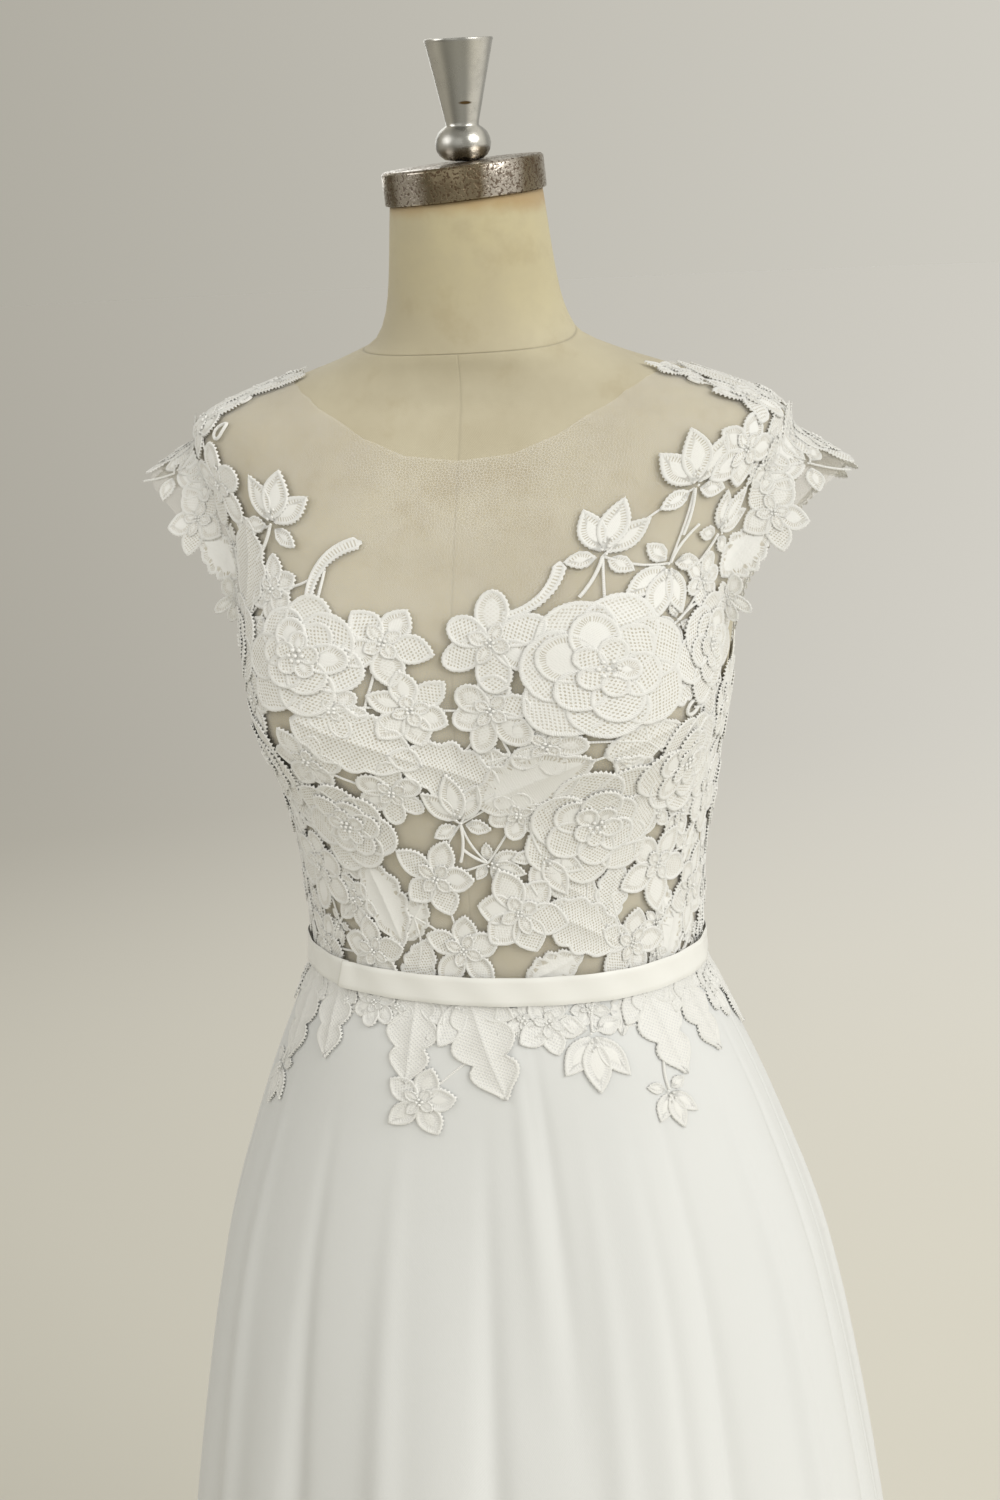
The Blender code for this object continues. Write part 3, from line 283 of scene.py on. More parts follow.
def body_point(turn, along):
    x, y, centre, z = ring_point(BODY, turn, along)
    wrapped = np.abs((turn + math.pi) % (2 * math.pi) - math.pi)
    away = (wrapped - math.radians(BUST["turn"])) / math.radians(BUST["spread"])
    reach = np.where(along > BUST["height"], BUST["up"], BUST["down"])
    tall = (along - BUST["height"]) / reach
    grow = 1 + BUST["out"] * np.exp(-(away**2) - tall**2) / np.hypot(x, y)
    return np.stack([x * grow, centre + y * grow, z], -1)


def skirt_point(turn, along, creased=False):
    x, y, centre, z = ring_point(SKIRT, turn, along)
    depth = -along
    grow = np.ones_like(x)
    radius = np.hypot(x, y)
    for middle, start, height, width, drift in FOLDS:
        share = np.clip((depth - start) / (HEM_DROP - start), 0, 1)
        at = math.radians(middle) + math.radians(drift) * share
        away = (turn - at + math.pi) % (2 * math.pi) - math.pi
        ridge = np.exp(-((away / math.radians(width)) ** 2))
        grow = grow + (height * share**0.9 * ridge) / radius
    if creased:
        for middle, start, end, height, width in CREASES:
            share = np.clip((depth - start) / (end - start), 0, 1)
            swell = np.sin(math.pi * share) ** 1.3
            away = (turn - np.radians(middle + 3 * share) + math.pi) % (2 * math.pi) - math.pi
            ridge = np.exp(-((away / np.radians(width * (0.7 + share))) ** 2))
            grow = grow + height * swell * ridge / radius
    return np.stack([x * grow, centre + y * grow, z], -1)


def armhole_place(angle):
    """Turn and place along the cloth of the armhole at an angle from under the arm."""
    reach = np.where(np.sin(angle) > 0, ARMHOLE["front"], ARMHOLE["back"])
    turn = np.radians(ARMHOLE["turn"] - reach * np.sin(angle))
    return turn, ARMHOLE["along"] - ARMHOLE["half"] * np.cos(angle)


def sleeve_point(across, out):
    """Point of the right cap sleeve: distance round from its top, and distance out."""
    angle = math.pi + np.asarray(across, float) / SLEEVE_TO_CLOTH
    turn, along = armhole_place(angle)
    edge = body_point(turn, along)
    middle = math.radians(ARMHOLE["turn"])
    inner = body_point(turn + (middle - turn) * 0.02, along + (ARMHOLE["along"] - along) * 0.02)
    flow = inner - edge
    flow /= np.linalg.norm(flow, axis=-1, keepdims=True)
    bent = np.where(out < SLEEVE_BEND, np.maximum(out, 0) ** 2 / (2 * SLEEVE_BEND), out - SLEEVE_BEND / 2)
    return edge + flow * (out - bent)[..., None] + np.array(SLEEVE_FALL) * bent[..., None]


def raised(surface, across, along, out, side=1.0):
    """Points of a surface moved out along its own normal."""
    across = np.asarray(across, float)
    along = np.asarray(along, float)
    step = 1e-4
    du = surface(across + step, along) - surface(across - step, along)
    dv = surface(across, along + step) - surface(across, along - step)
    normal = np.cross(du, dv)
    normal /= np.linalg.norm(normal, axis=-1, keepdims=True)
    return surface(across, along) + side * normal * np.asarray(out)[..., None]


def creased_skirt_point(turn, along):
    return skirt_point(turn, along, True)


def on_body(across, along, out):
    return raised(body_point, np.asarray(across) / TURN_TO_CLOTH, along, out)


def on_skirt(across, along, out):
    return raised(creased_skirt_point, np.asarray(across) / TURN_TO_CLOTH, along, out)


def on_dress(across, along, out):
    """Points on the bodice above the waist and on the skirt below it."""
    low = along < 0
    points = np.zeros((len(across), 3))
    points[low] = on_skirt(across[low], np.minimum(along[low], -1e-4), out[low])
    points[~low] = on_body(across[~low], np.maximum(along[~low], 1e-4), out[~low])
    return points


def on_right_sleeve(across, along, out):
    return raised(sleeve_point, across, along, out, -1.0)


def on_left_sleeve(across, along, out):
    return on_right_sleeve(across, along, out) * np.array((-1.0, 1.0, 1.0))


# Pieces and finishes
def make_piece(name, points, faces, look, maps=None, values=None):
    """Mesh piece in its place, with its maps and values at each point."""
    mesh = bpy.data.meshes.new(name)
    mesh.from_pydata(np.asarray(points).tolist(), [], faces)
    mesh.polygons.foreach_set("use_smooth", [True] * len(mesh.polygons))
    corners = np.zeros(len(mesh.loops), int)
    mesh.loops.foreach_get("vertex_index", corners)
    for key, flat in (maps or {}).items():
        layer = mesh.uv_layers.new(name=key)
        layer.data.foreach_set("uv", np.asarray(flat, np.float32)[corners].ravel())
    for key, numbers in (values or {}).items():
        layer = mesh.attributes.new(key, "FLOAT", "POINT")
        layer.data.foreach_set("value", np.asarray(numbers, np.float32))
    mesh.materials.append(look)
    mesh.update()
    thing = bpy.data.objects.new(name, mesh)
    bpy.context.collection.objects.link(thing)
    return thing


def settle(piece, slot, *nodes):
    """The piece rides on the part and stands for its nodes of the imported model."""
    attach(piece, "root")
    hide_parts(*nodes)
    return piece


def toned(colour, *shares):
    """A colour with a share of each channel, or with one share of all three."""
    shares = shares * 3 if len(shares) == 1 else shares
    return tuple(min(value * share, 0.95) for value, share in zip(colour, shares))


class Finish:
    """A material whose nodes are added one after another."""

    def __init__(self, name, **fixed):
        self.look = bpy.data.materials.new(name)
        self.look.use_nodes = True
        self.tree = self.look.node_tree
        self.shader = self.tree.nodes["Principled BSDF"]
        self.finish(**fixed)

    def set(self, node, key, value):
        if isinstance(key, str):
            names = {socket.name.lower(): socket for socket in node.inputs if socket.enabled}
            socket = names[key.lower()]
        else:
            socket = node.inputs[key]
        if isinstance(value, bpy.types.NodeSocket):
            self.tree.links.new(value, socket)
        elif socket.type == "RGBA" and len(value) == 3:
            socket.default_value = (*value, 1.0)
        else:
            socket.default_value = value

    def add(self, kind, inputs, **settings):
        node = self.tree.nodes.new("ShaderNode" + kind)
        for key, value in settings.items():
            setattr(node, key, value)
        for key, value in inputs.items():
            self.set(node, key, value)
        return node

    def place(self, map_name=""):
        if map_name:
            return self.add("UVMap", {}, uv_map=map_name).outputs[0]
        return self.add("TexCoord", {}).outputs["Object"]

    def value(self, name):
        return self.add("Attribute", {}, attribute_name=name).outputs["Fac"]

    def apart(self, place):
        return self.add("SeparateXYZ", {0: place}).outputs

    def math(self, operation, *values):
        return self.add("Math", dict(enumerate(values)), operation=operation).outputs[0]

    def times(self, first, second):
        return self.math("MULTIPLY", first, second)

    def plus(self, first, second):
        return self.math("ADD", first, second)

    def less(self, first, second):
        return self.math("SUBTRACT", first, second)

    def times_plus(self, first, second, third):
        return self.math("MULTIPLY_ADD", first, second, third)

    def wave(self, value, length):
        """Wave that repeats after a length along a value."""
        return self.math("SINE", self.times(value, 2 * math.pi / length))

    def remap(self, value, low, high, start=0.0, end=1.0):
        inputs = {"Value": value, "From Min": low, "From Max": high, "To Min": start, "To Max": end}
        return self.add("MapRange", inputs, interpolation_type="SMOOTHSTEP").outputs[0]

    def noise(self, place, scale, detail=3.0, roughness=0.5):
        inputs = {"Vector": place, "Scale": scale, "Detail": detail, "Roughness": roughness}
        return self.add("TexNoise", inputs).outputs["Fac"]

    def stretched(self, place, *scale):
        return self.add("Mapping", {"Vector": place, "Scale": scale}).outputs[0]

    def blend(self, factor, first, second):
        return self.add("Mix", {0: factor, 6: first, 7: second}, data_type="RGBA").outputs[2]

    def marked(self, tone, mark, share, other):
        """A tone with a share of another one where a mark lies."""
        return self.blend(self.times(mark, share), tone, other)

    def bump(self, height, strength, distance):
        return self.add("Bump", {"Height": height, "Strength": strength, "Distance": distance}).outputs[0]

    def finish(self, **values):
        for key, value in values.items():
            self.set(self.shader, key.replace("_", " "), value)
        return self.look


def weave(made, place, pitch):
    """Height of a plain weave of a pitch in metres, on a map in metres."""
    x, y, _ = made.apart(place)
    return made.times(made.wave(x, pitch), made.wave(y, pitch))


def linen_finish(colour):
    """Old cream linen with a fine weave, stains, a yellower neck and dark seams."""
    made = Finish("linen_cover", roughness=0.8, sheen_weight=0.25, sheen_roughness=0.5)
    place = made.place()
    height = made.apart(place)[2]
    neck = made.remap(height, WAIST_Z + 0.33, WAIST_Z + 0.40)
    tone = made.blend(neck, colour, toned(colour, 1.0, 0.97, 0.80))
    stain = made.remap(made.noise(place, 11, 5, 0.62), 0.35, 0.72)
    tone = made.marked(tone, stain, 0.70, toned(colour, 0.80, 0.77, 0.72))
    blot = made.remap(made.noise(place, 34, 4, 0.6), 0.52, 0.75)
    tone = made.marked(tone, blot, 0.40, toned(colour, 0.7, 0.63, 0.5))
    ragged = made.times_plus(made.noise(place, 45, 3), 0.012, height)
    under_cap = made.remap(ragged, WAIST_Z + 0.4290, WAIST_Z + 0.4385)
    tone = made.marked(tone, under_cap, 0.75, (0.44, 0.29, 0.13))
    tone = made.marked(tone, made.value("seam"), 0.45, (0.26, 0.23, 0.17))
    fibre = made.plus(weave(made, made.place("cloth"), 0.0009), made.noise(place, 900, 2))
    return made.finish(base_color=tone, normal=made.bump(fibre, 0.35, 0.0002))


def net_finish(colour):
    """Sheer tulle: fine six-sided holes between hair-thin threads."""
    made = Finish("sheer_net", roughness=0.75, base_color=colour, sheen_weight=0.2)
    place = made.place("cloth")
    inputs = {"Vector": place, "Scale": 800.0}
    cells = made.add("TexVoronoi", inputs, feature="DISTANCE_TO_EDGE", voronoi_dimensions="2D")
    thread = made.remap(cells.outputs["Distance"], 0.02, 0.12, 1.0, 0.0)
    cover = made.times_plus(thread, 0.46, made.times(made.noise(place, 60, 3), 0.26))
    return made.finish(alpha=cover, normal=made.bump(thread, 0.4, 0.0002))


def lace_finish(name, colour, under_colour_and_shade):
    """Corded lace: smooth raised cords, net filling with small holes, ladder stitches; the holes take a
    given colour for what lies under the lace and the painted shade in them.
    """
    made = Finish(name, roughness=0.82, sheen_weight=0.3, sheen_roughness=0.45)
    grain = made.place("grain")
    x, y, _ = made.apart(grain)
    run, off, _ = made.apart(made.place("edge"))
    cord = made.remap(off, 0.0017, 0.0023, 1.0, 0.0)
    pull = made.noise(grain, 150, 2)
    stitch = made.wave(made.times_plus(pull, 0.0022, x), 0.0028)
    row = made.wave(made.times_plus(pull, -0.0018, y), 0.0021)
    net = made.remap(made.times(stitch, row), 0.12, 0.55)
    rung = made.remap(made.wave(run, 0.0017), 0.0, 0.5)
    ladder = made.times(made.times(rung, made.remap(off, 0.0044, 0.0038)), 0.9)
    inner = made.remap(made.value("style"), 0.3, 0.6)
    hole = made.plus(made.times(net, made.less(1.0, inner)), made.times(ladder, inner))
    hole = made.times(hole, made.less(1.0, cord))
    uneven = made.noise(grain, 260, 3)
    tone = made.marked(colour, made.value("tone"), 0.35, toned(colour, 0.88, 0.87, 0.84))
    # Painted shade: the holes are painted with the colour of what lies under the lace and the shade in them,
    # not cut open.
    tone = made.blend(made.times(hole, made.remap(uneven, 0.25, 0.6, 0.36, 0.94)), tone, under_colour_and_shade)
    twist = made.wave(made.times_plus(off, 0.8, run), 0.0011)
    threads = made.wave(made.plus(x, y), 0.0010)
    height = made.times_plus(threads, 0.14, made.times(twist, made.times(cord, 0.35)))
    height = made.plus(made.less(height, hole), made.times(made.noise(grain, 900, 2), 0.8))
    frayed = made.times_plus(made.wave(run, 0.0024), 0.00021, made.times(uneven, 0.00034))
    cover = made.remap(made.less(off, frayed), 0.0, 0.00008)
    return made.finish(base_color=tone, alpha=cover, normal=made.bump(height, 0.6, 0.0005))


def chiffon_finish(colour):
    """White chiffon: a very fine crepe weave with a soft sheen."""
    made = Finish("white_chiffon", roughness=0.7, sheen_weight=0.35, sheen_roughness=0.4)
    cloth = made.place("cloth")
    crepe = made.noise(made.stretched(cloth, 1.0, 0.35, 1.0), 900, 3)
    drift = made.noise(made.stretched(cloth, 1.0, 0.12, 1.0), 22, 3)
    tone = made.marked(colour, drift, 0.35, toned(colour, 0.93, 0.94, 0.96))
    height = made.times_plus(weave(made, cloth, 0.0008), 0.5, crepe)
    return made.finish(base_color=tone, normal=made.bump(height, 0.25, 0.0002))


def satin_finish(name, colour):
    """Satin with fine threads along the ribbon, and a line of painted shade where the ribbon laps."""
    made = Finish(name, roughness=0.34, sheen_weight=0.4, sheen_roughness=0.3, specular_ior_level=0.5)
    cloth = made.place("cloth")
    thread = made.noise(made.stretched(cloth, 0.06, 1.0, 1.0), 1800, 2)
    drift = made.noise(made.stretched(cloth, 0.3, 1.0, 1.0), 120, 3)
    tone = made.marked(colour, drift, 0.4, toned(colour, 0.93, 0.92, 0.88))
    # Painted shade: the ribbon is darker within about 2 mm of the lapped end, where its fold is shaded.
    from_lap = made.math("ABSOLUTE", made.less(made.apart(cloth)[0], LAP_PLACE))
    tone = made.blend(made.remap(from_lap, 0.0005, 0.0018, 0.45, 0.0), tone, toned(colour, 0.62, 0.60, 0.55))
    rough = made.remap(drift, 0.3, 0.7, 0.28, 0.42)
    return made.finish(base_color=tone, roughness=rough, normal=made.bump(thread, 0.22, 0.0002))


def painted_reflection_bands(made, place, centre, start, drift):
    """Five soft bands of painted reflection that run up and down and follow one another round a piece."""
    x, y, _ = made.apart(place)
    turn = made.math("ARCTAN2", x, made.less(centre, y))
    wander = made.times_plus(made.noise(place, 40, 2), drift, math.radians(start) - drift / 2)
    return made.math("COSINE", made.times_plus(turn, 5.0, wander))


def plated_finish(colour, centre):
    """Tarnished plating: painted reflections as dull and bright bands round the cap, pits and brown flecks.
    """
    made = Finish("tarnished_plating", metallic=1.0)
    place = made.place()
    band = made.remap(painted_reflection_bands(made, place, centre, -210, 1.6), 0.0, 0.95)
    cloud = made.remap(made.noise(place, 70, 4, 0.6), 0.4, 0.65)
    fleck = made.times(made.remap(made.noise(place, 420, 3, 0.6), 0.54, 0.62), cloud)
    mark = made.math("MAXIMUM", fleck, made.remap(made.noise(place, 700, 2), 0.53, 0.60))
    tone = made.marked(colour, cloud, 0.5, toned(colour, 0.55, 0.5, 0.45))
    # Painted reflection: the plating is much lighter along the bright bands.
    tone = made.blend(band, tone, toned(colour, 2.7, 3.0, 4.0))
    tone = made.marked(tone, mark, 0.85, (0.10, 0.065, 0.04))
    rough = made.remap(made.times_plus(cloud, 0.3, mark), 0.0, 1.0, 0.14, 0.60)
    return made.finish(base_color=tone, roughness=rough, normal=made.bump(made.less(1.0, mark), 0.6, 0.0003))


def alloy_finish(colour, centre, hole_shade_spot):
    """Turned aluminium: fine rings, soft bands of painted reflection, a few small marks, and a dark brown
    spot of painted shade where a small hole is.
    """
    made = Finish("turned_aluminium", metallic=1.0)
    place = made.place()
    rings = made.noise(made.stretched(place, 6.0, 6.0, 900.0), 3, 3)
    smear = made.remap(made.noise(place, 60, 4, 0.6), 0.4, 0.7)
    band = made.remap(painted_reflection_bands(made, place, centre, -215, 0.5), -0.6, 1.0)
    # Painted reflection: the aluminium is lighter on the bright bands and duller between them; the smears
    # take the dull tone too.
    dull = toned(colour, 0.60, 0.60, 0.58)
    tone = made.blend(band, dull, toned(colour, 1.35, 1.33, 1.28))
    tone = made.marked(tone, smear, 0.4, dull)
    inputs = {0: made.stretched(place, *HOLE_SHADE_SHAPE), 1: tuple(a * b for a, b in zip(hole_shade_spot, HOLE_SHADE_SHAPE))}
    near = made.add("VectorMath", inputs, operation="DISTANCE").outputs["Value"]
    # Painted shade: a dark brown spot stands in for the shade in a small hole of the knob, which the shape
    # does not have.
    tone = made.blend(made.remap(near, 0.0013, 0.0027, 1.0, 0.0), tone, (0.11, 0.07, 0.03))
    rough = made.remap(smear, 0.0, 1.0, 0.24, 0.40)
    return made.finish(base_color=tone, roughness=rough, normal=made.bump(rings, 0.12, 0.0003))


def paint_finish(colour):
    """Dark powder-coated metal with a fine grain and light wear low down."""
    made = Finish("stand_paint", roughness=0.5, metallic=0.0)
    place = made.place()
    worn = made.remap(made.noise(place, 45, 5, 0.65), 0.55, 0.78)
    tone = made.marked(colour, worn, 0.5, (0.16, 0.155, 0.15))
    rough = made.remap(worn, 0.0, 1.0, 0.42, 0.62)
    grain = made.bump(made.noise(place, 1400, 2), 0.3, 0.0002)
    return made.finish(base_color=tone, roughness=rough, normal=grain)


def floor_finish(colour):
    """Pale floor with painted light: near by darker on the left and lighter on the right, and far away
    fading into the colour of the backdrop, painted darker on the left and lighter on the right.
    """
    made = Finish("studio_floor", roughness=0.9, specular_ior_level=0.0)
    place = made.place()
    away = made.add("VectorMath", {0: place}, operation="LENGTH").outputs["Value"]
    side = made.math("DIVIDE", made.apart(place)[0], away)
    # Painted light: far away the floor is painted with the backdrop's darker left and lighter right.
    far = made.blend(made.remap(side, *BACKDROP_SPREAD), *(toned(shade, *FLOOR_SHARE) for shade in BACKDROP))
    # Painted light: near by the floor is darker on the left and lighter on the right, where the light comes
    # from.
    near = made.blend(made.remap(side, -0.7, 0.2), toned(colour, 0.88), toned(colour, 1.12))
    near = made.marked(near, made.noise(place, 1.5, 2), 0.2, toned(colour, 0.9))
    return made.finish(base_color=made.blend(made.remap(away, 0.6, 5.0), near, far))


# Flat panels
def ring_area(loop):
    return sum(a[0] * b[1] - b[0] * a[1] for a, b in zip(loop, loop[1:] + loop[:1])) / 2


def inside_mask(outline, x, y):
    """Which points lie inside an outline."""
    hit = np.zeros(len(x), bool)
    for (ax, ay), (bx, by) in zip(outline[-1:] + outline[:-1], outline):
        if ay != by:
            crosses = (ay > y) != (by > y)
            hit ^= crosses & (x < ax + (y - ay) * (bx - ax) / (by - ay))
    return hit


def edge_distance(outline, x, y):
    """Distance of points from an outline, and how far along it the nearest place is."""
    near = np.full(len(x), 1.0)
    run = np.zeros(len(x))
    gone = 0.0
    for (ax, ay), (bx, by) in zip(outline[-1:] + outline[:-1], outline):
        dx, dy = bx - ax, by - ay
        length = math.hypot(dx, dy)
        if length < 1e-9:
            continue
        t = np.clip(((x - ax) * dx + (y - ay) * dy) / length**2, 0, 1)
        away = np.hypot(x - ax - t * dx, y - ay - t * dy)
        better = away < near
        near = np.where(better, away, near)
        run = np.where(better, gone + t * length, run)
        gone += length
    return near, run


def grid_inside(outline, step, margin, extra=None):
    """Points of a square grid inside an outline, a margin away from its edge."""
    corners = np.array(outline)
    low, high = corners.min(0), corners.max(0)
    x, y = np.meshgrid(np.arange(low[0], high[0], step), np.arange(low[1], high[1], step))
    x, y = x.ravel(), y.ravel()
    near, _ = edge_distance(outline, x, y)
    clear = near > margin
    if extra:
        clear |= extra(x, y)
    kept = inside_mask(outline, x, y) & clear
    return x[kept], y[kept]


def close_points(loop, step):
    """An outline with its long edges divided."""
    points = []
    for (ax, ay), (bx, by) in zip(loop, loop[1:] + loop[:1]):
        count = max(1, math.ceil(math.dist((ax, ay), (bx, by)) / step))
        points += [(ax + (bx - ax) * k / count, ay + (by - ay) * k / count) for k in range(count)]
    return points


def grid_faces(rows, cols):
    """Faces between the points of a grid, numbered row by row."""
    corners = (i * cols + j for i in range(rows - 1) for j in range(cols - 1))
    return [(a, a + 1, a + 1 + cols, a + cols) for a in corners]


def ring_faces(rings, count):
    """Faces between closed rings of points, one ring above another."""
    faces = []
    for j in range(rings - 1):
        for k in range(count):
            m = (k + 1) % count
            faces.append((j * count + k, j * count + m, (j + 1) * count + m, (j + 1) * count + k))
    return faces


def path_run(path):
    """Length of a path up to each of its points."""
    return np.concatenate([[0], np.cumsum(np.linalg.norm(np.diff(path, axis=0), axis=1))])


def path_sides(path):
    """Unit step to the right of a path at each of its points."""
    flow = np.gradient(path, axis=0)
    flow /= np.maximum(np.linalg.norm(flow, axis=1, keepdims=True), 1e-9)
    return np.stack([flow[:, 1], -flow[:, 0]], -1)


def net_panel(name, node, outline, surface, out, look, held, rests_on, flower, step=0.0055):
    """Panel of net cut to an outline and laid on a surface."""
    outline = close_points(outline, step)
    if ring_area(outline) < 0:
        outline = outline[::-1]
    x, y = grid_inside(outline, step, step * 0.45)
    points = [Vector(point) for point in outline + list(zip(x.tolist(), y.tolist()))]
    flat, _, faces, _, _, marks = delaunay_2d_cdt(points, [], [list(range(len(outline)))], 0, 1e-6, True)
    inner = [tuple(face) for face, mark in zip(faces, marks) if mark]
    flat = np.array([(p.x, p.y) for p in flat])
    placed = surface(flat[:, 0], flat[:, 1], np.full(len(flat), out))
    piece = settle(make_piece(name, placed, inner, look, {"cloth": flat}), "net_fabric", node)


def cloth_place(turn, along):
    return math.radians(turn) * TURN_TO_CLOTH, along


def armhole_edge(first, last):
    """Points round the armhole in steps of 7.5 degrees."""
    steps = np.arange(first, last + 1)
    turn, along = armhole_place(steps * math.pi / 24)
    return list(zip((turn * TURN_TO_CLOTH).tolist(), along.tolist()))


def front_outline():
    side = math.pi / 2 * TURN_TO_CLOTH - SEAM
    neck = [cloth_place(*row) for row in FRONT_NECK]
    right = [(0.0, WAIST_SEAM), (side, WAIST_SEAM)] + armhole_edge(1, 23) + neck[::-1]
    return right + [(-x, y) for x, y in right if x > 1e-6][::-1]


def back_outline():
    side = math.pi / 2 * TURN_TO_CLOTH + SEAM
    centre = math.pi * TURN_TO_CLOTH - SEAM
    neck = [cloth_place(*row) for row in BACK_NECK]
    return [(side, WAIST_SEAM), (centre, WAIST_SEAM)] + neck[::-1] + armhole_edge(25, 47)


def sleeve_length(across):
    share = (1 + np.cos(across / SLEEVE_TO_CLOTH)) / 2
    return SLEEVE_LENGTH * share**1.1


def sleeve_outline():
    foot = [(k * math.pi / 24 * SLEEVE_TO_CLOTH, SEAM) for k in range(-20, 21)]
    return foot + [(x, float(sleeve_length(x))) for x, _ in foot[::-1]]


def mirrored(points):
    return [(-x, y) for x, y in points][::-1]


def grid_piece(name, surface, turns, levels, out, look):
    """Single layer of cloth on a regular grid of turns and places along the cloth."""
    across, along = np.meshgrid(np.asarray(turns) * TURN_TO_CLOTH, np.asarray(levels), indexing="ij")
    across, along = across.ravel(), along.ravel()
    faces = grid_faces(len(turns), len(levels))
    if levels[0] < levels[-1]:
        faces = [face[::-1] for face in faces]
    points = surface(across, along, out)
    return make_piece(name, points, faces, look, {"cloth": np.stack([across, along], -1)})


# Lace

# Petal shapes: widest place, roundness, depth and count of the teeth, cupping, rib.
SHAPES = {
    "round": (0.60, 0.52, 0.0, 0.0, 1.0, 0.0),
    "pointed": (0.55, 0.80, 0.0, 0.0, 0.7, 0.0),
    "slim": (0.46, 0.90, 0.0, 0.0, 0.5, 0.0),
    "toothed": (0.45, 0.70, 0.13, 4.6, 0.4, 1.0),
    "lobed": (0.40, 0.62, 0.27, 3.1, 0.4, 1.0),
}
# Distances from the edge at which the section of the raised cord has its points.
CORD_STEPS = np.array((0.0, 0.0005, 0.0011, 0.0017, 0.0024))
# Fillings of a petal: net, ladder stitches, and a mix of both.
NET, MIXED, LADDER = 0.0, 0.5, 1.0
# Lily: turn of each petal, and its length and width as shares of the flower's size.
LILY_PETALS = (
    (0.62, 0.56, 0.30), (-0.62, 0.56, 0.30), (0.0, 0.64, 0.34), (1.9, 0.34, 0.22), (-1.9, 0.34, 0.22),
)


class LaceDraft:
    """Lace drawn flat on the cloth, before it is laid on the dress."""

    def __init__(self, seed):
        sizes = bpy.context.scene.dress_sizes
        self.level = sizes.lace_level
        self.cord_height = sizes.cord_height
        self.chance = np.random.default_rng(seed)
        self.flat, self.grain, self.edge, self.style, self.tone = [], [], [], [], []
        self.faces = []
        self.count = 0
        self.spots = []

    def add(self, flat, height, faces, grain, edge, style, tone):
        self.flat.append(np.concatenate([flat, np.reshape(height, (-1, 1))], 1))
        self.grain.append(grain)
        self.edge.append(edge)
        self.style.append(np.full(len(flat), style))
        self.tone.append(np.full(len(flat), tone))
        self.faces.extend(tuple(v + self.count for v in face) for face in faces)
        self.count += len(flat)

    def lay(self, name, node, surface, look, flipped=False, press=0.8):
        """Lace piece on a surface, pressed flatter than it was drawn."""
        flat = np.concatenate(self.flat)
        points = surface(flat[:, 0], flat[:, 1], LACE_FOOT + (flat[:, 2] - LACE_FOOT) * press)
        faces = [face[::-1] for face in self.faces] if flipped else self.faces
        maps = {"grain": np.concatenate(self.grain), "edge": np.concatenate(self.edge)}
        values = {"style": np.concatenate(self.style), "tone": np.concatenate(self.tone)}
        return settle(make_piece(name, points, faces, look, maps, values), "lace_fabric", node)


def ahead(spot, heading, reach, aside=0.0):
    """Place at a reach from a spot along a heading, and a step to the right of it."""
    c, s = math.cos(heading), math.sin(heading)
    return spot[0] + s * reach + c * aside, spot[1] + c * reach - s * aside


def half_width(share, shape):
    widest, roundness, teeth, count, _, _ = SHAPES[shape]
    power = math.log(0.5) / math.log(widest)
    wide = np.sin(math.pi * np.clip(share, 0, 1) ** power) ** roundness
    if teeth:
        wide = wide * (1 - teeth + teeth * 2 * np.abs(np.sin(math.pi * (share * count + 0.1))) ** 0.7)
    return np.maximum(wide, 0.02)


def cord_section(off, height):
    """Height of a raised cord at distances from the edge, which turns down to the net."""
    return height * np.exp(-(((off - 0.0010) / 0.00070) ** 2)) - 0.0011 * np.clip(1 - off / 0.00033, 0, 1)


def petal(draft, place, heading, length, width, shape, level, style):
    """One petal or leaf with a raised cord round its edge."""
    tone = draft.chance.uniform(0, 1)
    _, _, teeth, _, cup, rib = SHAPES[shape]
    near_tip = [1 - d / length for d in (0.0025, 0.0015, 0.0009, 0.0004, 0.0)]
    inner = 21 if teeth else max(4, min(9, round(length / 0.0035)))
    shares = np.array(list(np.linspace(0.0, 1 - 0.0035 / length, inner)) + near_tip)
    wide = half_width(shares, shape) * width / 2
    outline_shares = np.linspace(0, 1, 40)
    outline_wide = half_width(outline_shares, shape) * width / 2
    ring = [(w, s * length) for w, s in zip(outline_wide, outline_shares)]
    ring += mirrored(ring)
    thick = float(np.clip(width / 0.013, 0.55, 1.15))
    columns = []
    for w in wide:
        scale = min(1.0, w / (0.0030 * thick))
        side = w - CORD_STEPS * thick * scale
        middle = [side[-1] * 0.55, 0.0007 * scale] if rib else [side[-1] * 0.5]
        half = list(side) + middle
        columns.append([-v for v in half] + [0.0] + half[::-1])
    x = np.array(columns)
    rows, cols = x.shape
    x = x.ravel()
    y = np.repeat(shares * length, cols)
    off, run = edge_distance(ring, x, y)
    off = off / thick
    share = y / length
    lift = 0.0011 * cup * share**2 + 0.0006 * cup * np.clip(off / 0.006, 0, 1) * (1 - share)
    height = level + lift + cord_section(off, draft.cord_height * thick)
    if rib:
        height = height + draft.cord_height * 0.8 * np.exp(-((x / 0.0006) ** 2))
        veins = np.sin((y - np.abs(x) * 1.2) * 2 * math.pi / 0.006)
        height = height + 0.00018 * veins * np.clip(off / 0.002, 0, 1)
    else:
        ripple = np.cos(x / max(width, 1e-4) * 2 * math.pi * 2)
        height = height + 0.00022 * ripple * np.clip(off / 0.003, 0, 1)
    flat = np.stack(ahead(place, heading, y, x), -1)
    grain = np.stack([x, y], -1)
    draft.add(flat, height, grid_faces(rows, cols), grain, np.stack([run, off], -1), style, tone)


